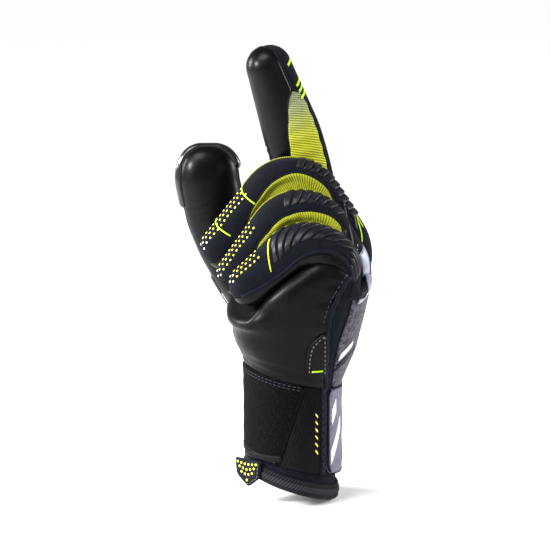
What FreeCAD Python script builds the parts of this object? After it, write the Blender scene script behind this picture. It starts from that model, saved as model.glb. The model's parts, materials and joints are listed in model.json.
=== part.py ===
import FreeCAD
import Part
import Sketcher
import math
import os

# Left-hand goalkeeper glove in its worn shape: index finger straight, the other three fingers curled,
# thumb out. Millimetres. The origin is the centre of the wrist opening, +Z runs to the fingertips,
# +X to the back of the hand and +Y to the thumb side.
# Every finger bends in its own plane, parallel to XZ. A lean is the angle in degrees from +Z towards
# the palm, which is -X. In a finger's own axes X is its back, Y its side and Z its length.
# Each panel is a slice of a hollow tube, so neighbouring panels meet face to face at their seams.
# The flex rings stand for the stretch of fabric that crosses a joint.

# side is the finger's Y. Root is the point where it leaves the hand. The knuckle arc and the bend arc
# are the radii of its centre line, and the halves are half thicknesses from palm to back.
FINGERS = {
    "index": {"side": 37, "root_x": 18.6, "root_up": 147, "lean_root": 6, "lean_base": 12, "lean_tip": 19,
              "knuckle_arc": 130, "bend_arc": 250, "base_len": 24, "tip_len": 54,
              "root_half": 17, "mid_half": 16.5, "end_half": 12.5},
    "middle": {"side": 12.3, "root_x": 38, "root_up": 137, "lean_root": -5, "lean_base": 33,
               "lean_tip": 140, "knuckle_arc": 22, "bend_arc": 18, "base_len": 30, "tip_len": 56,
               "root_half": 14.5, "mid_half": 14, "end_half": 12},
    "ring": {"side": -12.3, "root_x": 37.8, "root_up": 125.4, "lean_root": -8, "lean_base": 30,
             "lean_tip": 142, "knuckle_arc": 22, "bend_arc": 18, "base_len": 22, "tip_len": 49,
             "root_half": 14, "mid_half": 14, "end_half": 12},
    "little": {"side": -36.9, "root_x": 35.4, "root_up": 117.3, "lean_root": -6, "lean_base": 12,
               "lean_tip": 130, "knuckle_arc": 22, "bend_arc": 20, "base_len": 12, "tip_len": 40,
               "root_half": 13, "mid_half": 13.5, "end_half": 11.5},
}

# The hand's cross-sections, which are rounded rectangles: height, centre in X, half size in X and in Y.
HAND = {
    "cuff": (72, 5.4, 29.6, 38),
    "heel": (86, 6, 35.5, 43),
    "bulge": (106, 6, 40.6, 49),
    "arch": (121, 15, 35.4, 51),
    "knuckles": (138, 25, 27.3, 52.5),
    "crown": (165, 24.5, 24.5, 52.5),
}

# The thumb's cross-sections along its length: X, Y and Z of the centre, lean, splay towards +Y,
# half width and half thickness.
THUMB = {
    "saddle": (0, 34, 90, 36, 36, 21, 15),
    "base": (-24, 61, 117, 33, 14, 19.5, 12.8),
    "joint": (-36, 63.2, 138, 27, 0, 20, 12.8),
    "tip": (-42, 63.2, 154, 14, 0, 20, 12.6),
    "pad": (-47, 63.2, 178, 6, 0, 19.5, 12),
    "crest": (-48, 63.2, 191, 2, 0, 14.5, 8.5),
    "end": (-48, 63.2, 198, 0, 0, 6, 3.5),
}

SIZES = {
    "finger_half_width": 12.1,
    "finger_wall": 4,
    "finger_latex_edge": -2,
    "finger_back_edge": 7,
    "knuckle_flare": 1,
    "hand_wall": 6,
    "hand_roundness": 0.65,
    "lining": 1.2,
    "top_height": 129.4,
    "top_rise_x": 0.05,
    "top_rise_y": 0.46,
    "fold_start": -12,
    "fold_crest": 7,
    "fold_end": 19,
    "fold_height": 18,
    "fold_little_y": -47,
    "fold_index_y": 22,
    "seam_x": 22,
    "seam_lean": 9.3,
    "overlay": 1.6,
    "pad_height": 3,
    "pad_start": 50,
    "flash_start": 34,
    "flash_end": 48,
    "thumb_wall": 4,
    "rim_half": 2,
    "wrist_x": 3.5,
    "sleeve_half_x": 26.5,
    "sleeve_half_y": 34.5,
    "sleeve_wall": 3,
    "bandage": 2.5,
    "bandage_mid": 36,
    "bandage_half_width": 27,
    "bandage_tilt": 14,
    "rib_lean": 17,
    "cuff_tilt": 19,
    "hem_width": 5,
    "hem_thick": 1.5,
    "back_edge_x": 22,
    "binding_width": 2.5,
    "loop_patch": 1.4,
    "hook_patch": 1,
    "flap": 1.8,
    "badge": 0.5,
    "badge_half": 13,
    "badge_bar": 10,
    "clearance": 0.3,
    "tab_x": -22.5,
    "tab_y": -22.5,
    "tab_up": 16,
    "tab_turn": 45,
    "tab_half": 11,
    "tab_drop": 17,
    "tab_point": 7,
    "tab_thick": 2.4,
    "dot_radius": 0.9,
    "dot_height": 0.4,
    "dot_pitch": 3,
}

BIG = 300                   # longer than the glove, for boxes that cut on one side only
DOME_ANGLES = (35, 65, 82)  # where a fingertip's dome is sectioned, in degrees from its edge
TAB_DOT_ROWS = (6, 4, 3)    # dots in each row of the pull tab, top row first
FLAT = FreeCAD.Rotation()

doc = FreeCAD.newDocument("goalkeeper_glove")
dims = doc.addObject("Spreadsheet::Sheet", "dims")
pieces = []


def fill_sheet():
    """Writes every driving dimension to the sheet, one aliased cell each."""
    rows = dict(SIZES)
    for finger, sizes in FINGERS.items():
        rows.update({f"{finger}_{key}": value for key, value in sizes.items()})
    for level, values in HAND.items():
        keys = ("up", "mid", "half_x", "half_y")
        rows.update({f"hand_{level}_{key}": value for key, value in zip(keys, values)})
    for level, values in THUMB.items():
        keys = ("x", "y", "up", "lean", "splay", "half_x", "half_y")
        rows.update({f"thumb_{level}_{key}": value for key, value in zip(keys, values)})
    for row, (alias, value) in enumerate(rows.items(), start=1):
        dims.set(f"A{row}", alias)
        dims.set(f"B{row}", str(value))
        dims.setAlias(f"B{row}", alias)
    doc.recompute()


def value_of(expression):
    return float(dims.evalExpression(expression))


def size(alias):
    return value_of(f"dims.{alias}")


def vector_of(*aliases):
    return FreeCAD.Vector(*(size(alias) for alias in aliases))


def turn_about(axis, degrees):
    return FreeCAD.Rotation(FreeCAD.Vector(*axis), degrees)


def leaned(lean, splay=0):
    """The rotation that leans +Z towards the palm and then splays it towards the thumb side."""
    return turn_about((0, 1, 0), -lean).multiply(turn_about((1, 0, 0), -splay))


def add(kind, **properties):
    made = doc.addObject(kind, kind.split("::")[1].lower())
    for key, value in properties.items():
        setattr(made, key, value)
    return made


def bind(made, **expressions):
    """Binds properties to expressions over the sheet. Double underscores stand for dots."""
    for key, expression in expressions.items():
        made.setExpression(key.replace("__", "."), expression)
    return made


def ring(half_x, half_y, at=(0, 0, 0), turn=FLAT, x=None, z=None):
    """An elliptical section with its centre at a point, or at the given x and z expressions."""
    wide = value_of(half_y) > value_of(half_x)
    major, minor = (half_y, half_x) if wide else (half_x, half_y)
    rotation = turn.multiply(turn_about((0, 0, 1), 90)) if wide else turn
    made = add("Part::Ellipse", Placement=FreeCAD.Placement(FreeCAD.Vector(at), rotation))
    bind(made, MajorRadius=major, MinorRadius=minor)
    if x is not None:
        bind(made, Placement__Base__x=x)
    if z is not None:
        bind(made, Placement__Base__z=z)
    return made


def loft(sections):
    return add("Part::Loft", Sections=sections, Solid=True, Ruled=True)


def cut(base, tool):
    return add("Part::Cut", Base=base, Tool=tool)


def common(base, tool):
    return add("Part::Common", Base=base, Tool=tool)


def outline(sketch, corners):
    """Draws a closed polygon, each corner held by a pair of bound distances."""
    points = [FreeCAD.Vector(value_of(x), value_of(y), 0) for x, y in corners]
    for start, end in zip(points, points[1:] + points[:1]):
        sketch.addGeometry(Part.LineSegment(start, end), False)
    for edge, (x, y) in enumerate(corners):
        after = (edge + 1) % len(corners)
        sketch.addConstraint(Sketcher.Constraint("Coincident", edge, 2, after, 1))
        for kind, expression in (("DistanceX", x), ("DistanceY", y)):
            held = sketch.addConstraint(Sketcher.Constraint(kind, -1, 1, edge, 1, value_of(expression)))
            sketch.setExpression(f"Constraints[{held}]", expression)
    return sketch


def slab(x0=None, x1=None, y0=None, y1=None, z0=None, z1=None, pivot=(0, 0, 0), turn=FLAT):
    """A box between planes given as expressions in turned axes about the pivot. A side that is left out
    lies beyond the glove."""
    corner, lengths = [], []
    for low, high in ((x0, x1), (y0, y1), (z0, z1)):
        if low is None and high is None:
            low, high = str(-BIG), str(BIG)
        elif low is None:
            low = f"{high} - {BIG}"
        elif high is None:
            high = f"{low} + {BIG}"
        corner.append(value_of(low))
        lengths.append(f"({high}) - ({low})")
    made = bind(add("Part::Box"), Length=lengths[0], Width=lengths[1], Height=lengths[2])
    base = FreeCAD.Vector(pivot) + turn.multVec(FreeCAD.Vector(*corner))
    made.Placement = FreeCAD.Placement(base, turn)
    return made


def prism(section, forward, back="0"):
    made = add("Part::Extrusion", Base=section, DirMode="Normal", Solid=True)
    return bind(made, LengthFwd=forward, LengthRev=back)


def piece(made, label, placement=None):
    """Names a finished sub-part and puts it in its place."""
    made.Label = label
    if placement is not None:
        made.Placement = placement
    pieces.append(made)


def away(lean):
    """The direction of a finger's back where it has this lean."""
    return FreeCAD.Vector(math.cos(math.radians(lean)), 0, math.sin(math.radians(lean)))


def along(lean):
    return FreeCAD.Vector(-math.sin(math.radians(lean)), 0, math.cos(math.radians(lean)))


def finger_path(finger):
    """Where a finger's root, base part, bend and tip part are put."""
    at = {key: size(f"{finger}_{key}") for key in FINGERS[finger]}
    root = FreeCAD.Vector(at["root_x"], at["side"], at["root_up"])
    base = root + (away(at["lean_base"]) - away(at["lean_root"])) * at["knuckle_arc"]
    bend = base + along(at["lean_base"]) * at["base_len"]
    centre = bend - away(at["lean_base"]) * at["bend_arc"]
    tip = centre + away(at["lean_tip"]) * at["bend_arc"]
    return {
        "root": root,
        "base": FreeCAD.Placement(base, leaned(at["lean_base"])),
        "bend": FreeCAD.Placement(centre, leaned(at["lean_base"])),
        "tip": FreeCAD.Placement(tip, leaned(at["lean_tip"])),
    }


def finger_panels(segment, label, placement):
    """Slices a finger segment into its palm-side latex, its pair of side gussets and its back."""
    piece(common(segment, slab(x1="dims.finger_latex_edge")), f"{label}_latex", placement)
    gussets = slab(x0="dims.finger_latex_edge", x1="dims.finger_back_edge")
    piece(common(segment, gussets), f"{label}_gussets", placement)
    piece(common(segment, slab(x0="dims.finger_back_edge")), f"{label}_back", placement)


def finger_tube(stations, closed_stations=()):
    """A hollow tube through (z, half_x, half_y) stations. The closed stations shut its far end."""
    outer = [ring(half_x, half_y, z=z) for z, half_x, half_y in stations + list(closed_stations)]
    inner = [
        ring(f"{half_x} - dims.finger_wall", f"{half_y} - dims.finger_wall", z=z)
        for z, half_x, half_y in stations
    ]
    return cut(loft(outer), loft(inner))


def top_rotation():
    """Turns a section into the slanted plane that the fingers spring from."""
    normal = FreeCAD.Vector(-size("top_rise_x"), -size("top_rise_y"), 1)
    across = FreeCAD.Vector(1, 0, size("top_rise_x"))
    return FreeCAD.Rotation(across, normal.cross(across), normal, "ZXY")


def on_top(point):
    """The point of the slanted top plane that is straight above or below a point."""
    up = size("top_height") + size("top_rise_x") * point.x + size("top_rise_y") * point.y
    return FreeCAD.Vector(point.x, point.y, up)


def root_ring(finger, less):
    """The section where a finger's fabric meets the hand."""
    half = f"dims.{finger}_root_half + dims.knuckle_flare - {less}"
    width = f"dims.finger_half_width + dims.knuckle_flare - {less}"
    return ring(half, width, at=on_top(finger_path(finger)["root"]), turn=top_rotation())


def make_knuckle_flex(finger, path):
    shells = []
    for less in ("0", "dims.finger_wall"):
        start = path["base"]
        high = ring(
            f"dims.{finger}_root_half - {less}", f"dims.finger_half_width - {less}",
            at=start.Base, turn=start.Rotation,
        )
        shells.append(loft([root_ring(finger, less), high]))
    piece(cut(*shells), f"{finger}_knuckle_flex")


def make_bend_flex(finger, path):
    shells = []
    for less in ("0", "dims.finger_wall"):
        section = ring(
            f"dims.{finger}_mid_half - {less}", f"dims.finger_half_width - {less}",
            x=f"dims.{finger}_bend_arc",
        )
        swept = add("Part::Revolution", Source=section, Axis=FreeCAD.Vector(0, -1, 0), Solid=True)
        shells.append(bind(swept, Angle=f"dims.{finger}_lean_tip - dims.{finger}_lean_base"))
    piece(cut(*shells), f"{finger}_bend_flex", path["bend"])


def make_finger(finger):
    path = finger_path(finger)
    width = "dims.finger_half_width"
    root, middle, end = (f"dims.{finger}_{key}_half" for key in ("root", "mid", "end"))
    length = f"dims.{finger}_tip_len"

    make_knuckle_flex(finger, path)
    base = finger_tube([("0", root, width), (f"dims.{finger}_base_len", middle, width)])
    finger_panels(base, f"{finger}_base", path["base"])
    make_bend_flex(finger, path)

    dome = [
        (f"{length} - {end} * (1 - sin({angle}))", f"{end} * cos({angle})", f"{end} * 0.92 * cos({angle})")
        for angle in (0,) + DOME_ANGLES
    ]
    tip = finger_tube([("0", middle, width)] + dome[:2], dome[2:])
    finger_panels(tip, f"{finger}_tip", path["tip"])


def hand_section(level, grow):
    """A rounded rectangle at one level of the hand, grown outwards by an expression."""
    half_x, half_y = f"dims.hand_{level}_half_x", f"dims.hand_{level}_half_y"
    radius = f"{half_x} * dims.hand_roundness"
    core = bind(
        add("Part::Plane"), Length=f"2 * ({half_x} - {radius})", Width=f"2 * ({half_y} - {radius})",
        Placement__Base__x=f"dims.hand_{level}_mid - {half_x} + {radius}",
        Placement__Base__y=f"{radius} - {half_y}", Placement__Base__z=f"dims.hand_{level}_up",
    )
    return bind(add("Part::Offset2D", Source=core), Value=f"{radius} + {grow}")


def hand_solid(grow, top="0"):
    """The whole hand below the slanted finger plane, grown outwards by an expression."""
    sections = [hand_section(level, grow) for level in HAND]
    below = slab(z1=top, pivot=(0, 0, size("top_height")), turn=top_rotation())
    return common(loft(sections), below)


def behind_seam(**limits):
    """A box measured from the leaning side seam, which parts the palm from the back."""
    pivot = (size("seam_x"), 0, size("hand_cuff_up"))
    return slab(pivot=pivot, turn=turn_about((0, 1, 0), size("seam_lean")), **limits)


def thumb_rings(levels, grow="0", lift=0):
    """Sections of the thumb, grown by an expression. lift moves the last one further along."""
    made = []
    for level in levels:
        turn = leaned(size(f"thumb_{level}_lean"), size(f"thumb_{level}_splay"))
        at = vector_of(f"thumb_{level}_x", f"thumb_{level}_y", f"thumb_{level}_up")
        if level == levels[-1]:
            at += turn.multVec(FreeCAD.Vector(0, 0, lift))
        half_x, half_y = f"dims.thumb_{level}_half_x + {grow}", f"dims.thumb_{level}_half_y + {grow}"
        made.append(ring(half_x, half_y, at=at, turn=turn))
    return made


def thumb_tube(levels, inner_levels):
    return cut(loft(thumb_rings(levels)), loft(thumb_rings(inner_levels, "-dims.thumb_wall")))


def fold_section(y):
    """The outline, in a plane parallel to XZ, of the fold of palm that fills the curled fingers' hollow."""
    rise, height = "dims.top_rise_x", "dims.fold_height"
    corners = [
        ("dims.fold_start", f"dims.fold_start * {rise}"),
        ("dims.fold_crest", height),
        ("dims.fold_crest + 3", height),
        ("dims.fold_end", f"{height} * 0.45"),
        ("dims.fold_end", f"dims.fold_end * {rise}"),
    ]
    sketch = outline(add("Sketcher::SketchObject"), corners)
    sketch.Placement = FreeCAD.Placement(FreeCAD.Vector(), turn_about((1, 0, 0), 90))
    return bind(
        sketch, Placement__Base__y=y, Placement__Base__z=f"dims.top_height + dims.top_rise_y * ({y})",
    )


def make_hand():
    outer = hand_solid("0")
    inner = hand_solid("-dims.hand_wall", "-dims.hand_wall")
    core = hand_solid("-dims.hand_wall - dims.lining", "-dims.hand_wall - dims.lining")
    ways = [prism(root_ring(finger, "dims.finger_wall"), "5", "12") for finger in FINGERS]
    ways.append(loft(thumb_rings(("saddle", "base"), "-dims.thumb_wall")))
    stalls = add("Part::MultiFuse", Shapes=ways)
    wall = cut(cut(outer, inner), stalls)
    piece(common(wall, behind_seam(x1="0")), "palm_latex")
    piece(common(wall, behind_seam(x0="0")), "back_panel")
    piece(cut(cut(inner, core), stalls), "hand_lining")

    ends = [fold_section("dims.fold_little_y"), fold_section("dims.fold_index_y")]
    piece(loft(ends), "palm_fold")

    overlay = cut(hand_solid("dims.overlay"), outer)
    little_side = "20 - dims.hand_cuff_half_y"
    piece(common(overlay, behind_seam(x0="-1.5", x1="1.5", y1=little_side)), "side_seam_binding")
    flash = behind_seam(x0="2.5", z0="dims.flash_start", z1="dims.flash_end")
    piece(common(overlay, flash), "back_flash")
    pad = cut(hand_solid("dims.pad_height"), outer)
    piece(common(pad, behind_seam(x0="2.5", z0="dims.pad_start")), "punch_pad")


def make_thumb():
    piece(cut(thumb_tube(("saddle", "base"), ("saddle", "base")), hand_solid("0")), "thumb_root_flex")
    palm_side, back_side = slab(y1="dims.thumb_base_y"), slab(y0="dims.thumb_base_y")
    base = thumb_tube(("base", "joint"), ("base", "joint"))
    piece(common(base, palm_side), "thumb_base_latex")
    piece(common(base, back_side), "thumb_base_back")
    piece(thumb_tube(("joint", "tip"), ("joint", "tip")), "thumb_bend_flex")
    tip = thumb_tube(("tip", "pad", "crest", "end"), ("tip", "pad", "crest"))
    piece(common(tip, palm_side), "thumb_tip_latex")
    piece(common(tip, back_side), "thumb_tip_back")

    end = ("pad", "crest", "end")
    rim = cut(loft(thumb_rings(end, "dims.overlay", size("overlay"))), loft(thumb_rings(end)))
    band = slab(y0="dims.thumb_tip_y - dims.rim_half", y1="dims.thumb_tip_y + dims.rim_half")
    piece(common(rim, band), "thumb_tip_binding")


def wrist_solid(grow):
    """An upright elliptical column round the wrist, grown from the cuff sleeve's outside."""
    section = ring(
        f"dims.sleeve_half_x + {grow}", f"dims.sleeve_half_y + {grow}", x="dims.wrist_x", z="-40"
    )
    return prism(section, "dims.hand_cuff_up + 40")


def wrist_ring(inner, outer):
    return cut(wrist_solid(outer), wrist_solid(inner))


def across_cuff(low, high=None):
    """A box square to the tilted wrist opening."""
    return slab(z0=low, z1=high, turn=turn_about((0, 1, 0), size("cuff_tilt")))


def across_bandage(low, high, **limits):
    """A box square to the bandage, which slopes down towards the back of the wrist."""
    pivot = (size("wrist_x"), 0, size("bandage_mid"))
    return slab(z0=low, z1=high, pivot=pivot, turn=turn_about((0, 1, 0), size("bandage_tilt")), **limits)


def make_wrist():
    piece(common(wrist_ring("-dims.sleeve_wall", "0"), across_cuff("0")), "cuff_sleeve")
    piece(common(wrist_ring("0", "dims.hem_thick"), across_cuff("0", "dims.hem_width")), "cuff_hem")

    low, high = "-dims.bandage_half_width", "dims.bandage_half_width"
    wound = common(wrist_ring("0", "dims.bandage"), across_bandage(low, high))
    front = common(wound, slab(x1="dims.back_edge_x"))
    pivot = (size("wrist_x"), 0, size("bandage_mid"))
    ribbed = slab(x0="0", y1="0", pivot=pivot, turn=turn_about((0, 1, 0), size("rib_lean")))
    piece(cut(front, ribbed), "wrist_bandage")
    piece(common(front, ribbed), "ribbed_elastic")
    edge = {"x0": "dims.back_edge_x", "x1": "dims.back_edge_x + dims.binding_width"}
    piece(common(wound, slab(y1="0", **edge)), "bandage_binding")
    piece(common(wound, slab(y0="0", **edge)), "flap_anchor")


def make_closure():
    """The hook-and-loop flap on the back of the wrist and the patch that it closes on."""
    start = "dims.back_edge_x + dims.binding_width + 3 * dims.clearance"
    low, high = "-dims.bandage_half_width", "dims.bandage_half_width"
    patch = {"low": f"{low} + 3", "high": f"{high} - 3"}
    hook = "dims.loop_patch + dims.clearance"
    flap = f"{hook} + dims.hook_patch"
    badge = f"{flap} + dims.flap"
    bars = [
        across_bandage(f"{centre} - dims.badge_bar / 2", f"{centre} + dims.badge_bar / 2",
                       y0="-dims.badge_half", y1="dims.badge_half")
        for centre in ("dims.badge_bar * 0.75", "-dims.badge_bar * 0.75")
    ]
    layers = {
        "loop_patch": ("0", "dims.loop_patch", across_bandage(**patch)),
        "hook_patch": (hook, flap, across_bandage(**patch)),
        "closure_flap": (flap, badge, across_bandage(low, high)),
        "flap_badge": (badge, f"{badge} + dims.badge", add("Part::MultiFuse", Shapes=bars)),
    }
    for label, (inner, outer, region) in layers.items():
        sector = common(wrist_ring(inner, outer), slab(x0=start))
        piece(common(sector, region), label)


def tab_placement(out="0"):
    """The pull tab's plane: X along its sewn edge, Y up and Z out from the wrist."""
    turn = turn_about((0, 0, 1), -size("tab_turn")).multiply(turn_about((1, 0, 0), 90))
    base = vector_of("tab_x", "tab_y", "tab_up") + turn.multVec(FreeCAD.Vector(0, 0, value_of(out)))
    return FreeCAD.Placement(base, turn)


def make_tab():
    body = doc.addObject("PartDesign::Body", "pull_tab")
    webbing = body.newObject("PartDesign::Pad", "webbing")
    webbing.Profile = outline(body.newObject("Sketcher::SketchObject", "tab_outline"), [
        ("-dims.tab_half", "0"),
        ("dims.tab_half", "0"),
        ("dims.tab_half - 1", "dims.tab_point - dims.tab_drop"),
        ("0", "-dims.tab_drop"),
        ("1 - dims.tab_half", "dims.tab_point - dims.tab_drop"),
    ])
    bind(webbing, Length="dims.tab_thick")
    piece(body, "pull_tab", tab_placement())

    dots = []
    for row, count in enumerate(TAB_DOT_ROWS, start=1):
        for number in range(count):
            dot = bind(add("Part::Cylinder"), Radius="dims.dot_radius", Height="dims.dot_height")
            across = number - (count - 1) / 2
            bind(dot, Placement__Base__x=f"{across} * dims.dot_pitch",
                 Placement__Base__y=f"-{row + 0.2} * dims.dot_pitch")
            dots.append(dot)
    piece(add("Part::MultiFuse", Shapes=dots), "tab_dots", tab_placement("dims.tab_thick"))

    turn = tab_placement().Rotation
    block = slab(
        x0="-dims.tab_half", x1="dims.tab_half", y0="dims.clearance", y1="5", z0="-12", z1="dims.tab_thick",
        pivot=vector_of("tab_x", "tab_y", "tab_up"), turn=turn,
    )
    piece(cut(block, wrist_solid("dims.bandage")), "tab_anchor")


def check_and_write():
    """Stops on any object that failed to build, then writes one STEP file per sub-part."""
    doc.recompute()
    for made in doc.Objects:
        if "Invalid" in made.State or "Error" in made.State:
            raise RuntimeError(f"{made.Label} did not build")
    os.makedirs("parts", exist_ok=True)
    for made in pieces:
        if made.Shape.isNull() or not made.Shape.isValid():
            raise RuntimeError(f"{made.Label} has no valid shape")
        made.Shape.exportStep(f"parts/{made.Label}.step")


fill_sheet()
for name in FINGERS:
    make_finger(name)
make_hand()
make_thumb()
make_wrist()
make_closure()
make_tab()
check_and_write()
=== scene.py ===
import json
import math

import bpy
import bmesh
import numpy as np
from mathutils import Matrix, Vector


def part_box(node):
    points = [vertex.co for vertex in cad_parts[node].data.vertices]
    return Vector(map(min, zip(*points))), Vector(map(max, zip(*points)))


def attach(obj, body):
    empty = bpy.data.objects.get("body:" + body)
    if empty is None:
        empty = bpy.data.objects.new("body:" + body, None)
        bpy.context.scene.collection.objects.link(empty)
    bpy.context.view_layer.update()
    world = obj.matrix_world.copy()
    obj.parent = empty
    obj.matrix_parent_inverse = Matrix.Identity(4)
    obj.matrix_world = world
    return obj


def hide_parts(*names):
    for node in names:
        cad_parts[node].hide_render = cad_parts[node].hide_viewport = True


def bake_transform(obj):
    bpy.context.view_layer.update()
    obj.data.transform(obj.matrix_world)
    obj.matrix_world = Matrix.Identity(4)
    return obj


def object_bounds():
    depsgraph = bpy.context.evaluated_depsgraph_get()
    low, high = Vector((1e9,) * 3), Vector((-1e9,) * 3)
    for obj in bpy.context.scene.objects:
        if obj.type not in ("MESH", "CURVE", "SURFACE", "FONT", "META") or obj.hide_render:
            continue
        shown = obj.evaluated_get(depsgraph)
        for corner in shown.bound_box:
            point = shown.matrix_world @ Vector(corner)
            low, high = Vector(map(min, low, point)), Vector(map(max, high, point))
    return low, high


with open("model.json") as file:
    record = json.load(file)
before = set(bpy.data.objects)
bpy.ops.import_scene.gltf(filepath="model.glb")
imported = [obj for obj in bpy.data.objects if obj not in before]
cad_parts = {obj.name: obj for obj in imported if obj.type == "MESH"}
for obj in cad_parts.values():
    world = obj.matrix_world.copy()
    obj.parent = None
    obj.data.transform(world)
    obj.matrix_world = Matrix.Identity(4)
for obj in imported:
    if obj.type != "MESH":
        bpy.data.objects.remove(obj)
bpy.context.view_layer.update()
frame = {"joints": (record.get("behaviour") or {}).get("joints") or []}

# The looks of a left-hand goalkeeper glove in its worn shape. Lengths are millimetres in the row frame
# until a mesh is made. A surface is a function of s, the distance along a part, and phi, the angle round
# it in degrees: 0 is the back, 90 the little-finger side and 180 the palm.
MM = 0.001
JOINTS = {joint["name"]: np.array(joint["pos_m"]) / MM for joint in frame["joints"]}


def smooth(low, high, x):
    """A soft step from 0 at low to 1 at high."""
    t = np.clip((np.asarray(x, float) - low) / (high - low), 0, 1)
    return t * t * (3 - 2 * t)


def table(xs, ys, soften=0.0):
    """A function through points, its corners softened over the given distance."""
    xs, ys = np.array(xs, float), np.array(ys, float)
    if not soften:
        return lambda x: np.interp(x, xs, ys)
    fine = np.linspace(xs[0] - 4 * soften, xs[-1] + 4 * soften, 900)
    step = fine[1] - fine[0]
    kernel = np.hanning(max(3, int(2 * soften / step) | 1) + 2)
    kernel /= kernel.sum()
    pad = len(kernel) // 2
    values = np.pad(np.interp(fine, xs, ys), pad, mode="edge")
    values = np.convolve(values, kernel, mode="valid")
    return lambda x: np.interp(x, fine, values)


def away(lean):
    """The direction out of the back of a part that leans this many degrees."""
    a = np.radians(lean)
    return np.stack([np.cos(a), np.zeros_like(a), np.sin(a)], -1)


def along(lean):
    """The direction along a part that leans this many degrees."""
    a = np.radians(lean)
    return np.stack([-np.sin(a), np.zeros_like(a), np.cos(a)], -1)


def unit(v):
    return v / np.maximum(np.linalg.norm(v, axis=-1, keepdims=True), 1e-9)


def both(s, phi):
    """The two coordinates of a surface, in one shape."""
    return np.broadcast_arrays(np.asarray(s, float), np.asarray(phi, float))


def power(x, exponent):
    """A power that keeps the sign of x."""
    return np.sign(x) * np.abs(x) ** exponent


# ---------------------------------------------------------------- surfaces

class Finger:
    """The surface of one finger, from the joints of the frame and the finger's leans, arcs and lengths."""

    def __init__(self, name, leans, arcs, base_len, tip_len, halves, split, root_s):
        self.name, self.split, self.start = name, split, root_s
        knuckle, turn = JOINTS[f"{name}_knuckle"], math.radians(leans[1] - leans[0]) / 2
        centre = knuckle - away((leans[0] + leans[1]) / 2) * arcs[0] * turn / math.sin(turn)
        root = centre + away(leans[0]) * arcs[0]
        self.base = arcs[0] * math.radians(leans[1] - leans[0])
        self.bend = self.base + base_len
        self.tip = self.bend + arcs[1] * math.radians(leans[2] - leans[1])
        self.end = self.tip + tip_len
        lean = table([-60, 0, self.base, self.bend, self.tip, self.end + 20],
                     [leans[0], leans[0], leans[1], leans[1], leans[2], leans[2]], 4)
        self.s = np.arange(-60, self.end + 20, 0.25)
        self.lean = lean(self.s)
        steps = along(self.lean) * 0.25
        line = np.cumsum(steps, 0)
        self.line = line - line[np.searchsorted(self.s, 0)] + root
        self.side = root[1]
        self.half = table([root_s, root_s + 22, max(self.base, root_s + 23), self.bend, self.tip,
                           self.end - halves[2]], [halves[0] * 0.58, halves[0], halves[0] - 0.3, halves[1],
                                                   halves[1] - 0.2, halves[2]], 5)
        self.width = table([root_s, root_s + 14, root_s + 24, self.tip, self.end - halves[2]],
                           [8, 9.6, 11.3, 11.3, halves[2] * 0.92], 4)
        self.dome = halves[2]

    def centre(self, s):
        return np.stack([np.interp(s, self.s, self.line[:, k]) for k in range(3)], -1)

    def __call__(self, s, phi):
        s, phi = both(s, phi)
        lean = np.interp(s, self.s, self.lean)
        q = np.clip((s - self.end + self.dome) / self.dome, 0, 0.9998)
        close = np.maximum(1 - q ** 2.2, 0) ** (1 / 2.1)
        a = np.radians(phi)
        out = power(np.cos(a), 0.9) * self.half(s) * close
        side = power(np.sin(a), 0.9) * self.width(s) * close
        point = self.centre(np.minimum(s, self.end)) + away(lean) * out[..., None]
        point[..., 1] -= side
        return point


WRIST_X, WRIST_HALF_X, WRIST_HALF_Y = 3.5, 26.5, 34.5
BAND_MID, BAND_HALF, BAND_TILT = 39.5, 27.5, math.tan(math.radians(14.5))
CUFF_TILT = math.tan(math.radians(19))

HAND_Z = [54, 64, 74, 86, 106, 121, 138, 165, 190]
HAND_MID = table(HAND_Z, [3.5, 3.7, 4.8, 6, 6, 14.5, 24, 24.5, 24.5], 5)
HAND_HALF_X = table(HAND_Z, [26.0, 26.6, 29.6, 35.3, 40.2, 34.8, 26.6, 25, 24], 5)
HAND_HALF_Y = table(HAND_Z, [34, 34.6, 37.6, 42.5, 49.5, 52.3, 53, 52, 51], 5)
HAND_ROUND = table([54, 66, 96, 120, 190], [0.98, 0.98, 0.72, 0.66, 0.66], 5)
CREST_X = [-36, -30, -24, -12, 0, 8, 14, 20, 28, 36, 54]
CREST_LOW = table(CREST_X, [100, 104, 108, 115, 124, 130, 133, 131, 128, 126, 122], 3)
CREST_LIP = table(CREST_X, [109, 115, 124, 133, 138, 140, 142, 145, 144, 138, 126], 3)


def crest(x, y):
    """The height of the top of the hand: a hollow under the curled fingers with a raised near edge."""
    lip = smooth(-41, -49, y)
    return CREST_LOW(x) + 0.3 * (y + 37) + lip * (CREST_LIP(x) - CREST_LOW(x) + 2)


def hand(s, phi):
    """The surface of the hand, where s is the height."""
    s, phi = both(s, phi)
    a = np.radians(phi)
    shrink = np.sqrt(np.maximum(1 - np.clip((s - 126) / 54, 0, 0.9995) ** 2, 0))
    x = HAND_MID(s) + power(np.cos(a), HAND_ROUND(s)) * HAND_HALF_X(s) * shrink
    y = -power(np.sin(a), HAND_ROUND(s)) * HAND_HALF_Y(s) * shrink
    top = crest(x, y)
    z = -4 * np.logaddexp(-s / 4, -top / 4) - BAND_TILT * (x - WRIST_X) * (1 - smooth(62, 94, s))
    return np.stack([x, y, z], -1)


def hand_phi(x, s):
    """The angle on the near side of the hand where its surface has this x, in degrees."""
    c = (np.asarray(x, float) - HAND_MID(s)) / HAND_HALF_X(s)
    return np.degrees(np.arccos(np.clip(power(c, 1 / HAND_ROUND(s)), -1, 1)))


SEAM_X = table([60, 72, 91, 99, 110, 121, 133, 145, 200], [23, 23.4, 24.6, 24.6, 26.2, 29.8, 35.7, 40, 40], 4)


def seam_phi(s):
    return hand_phi(SEAM_X(s), s)


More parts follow.
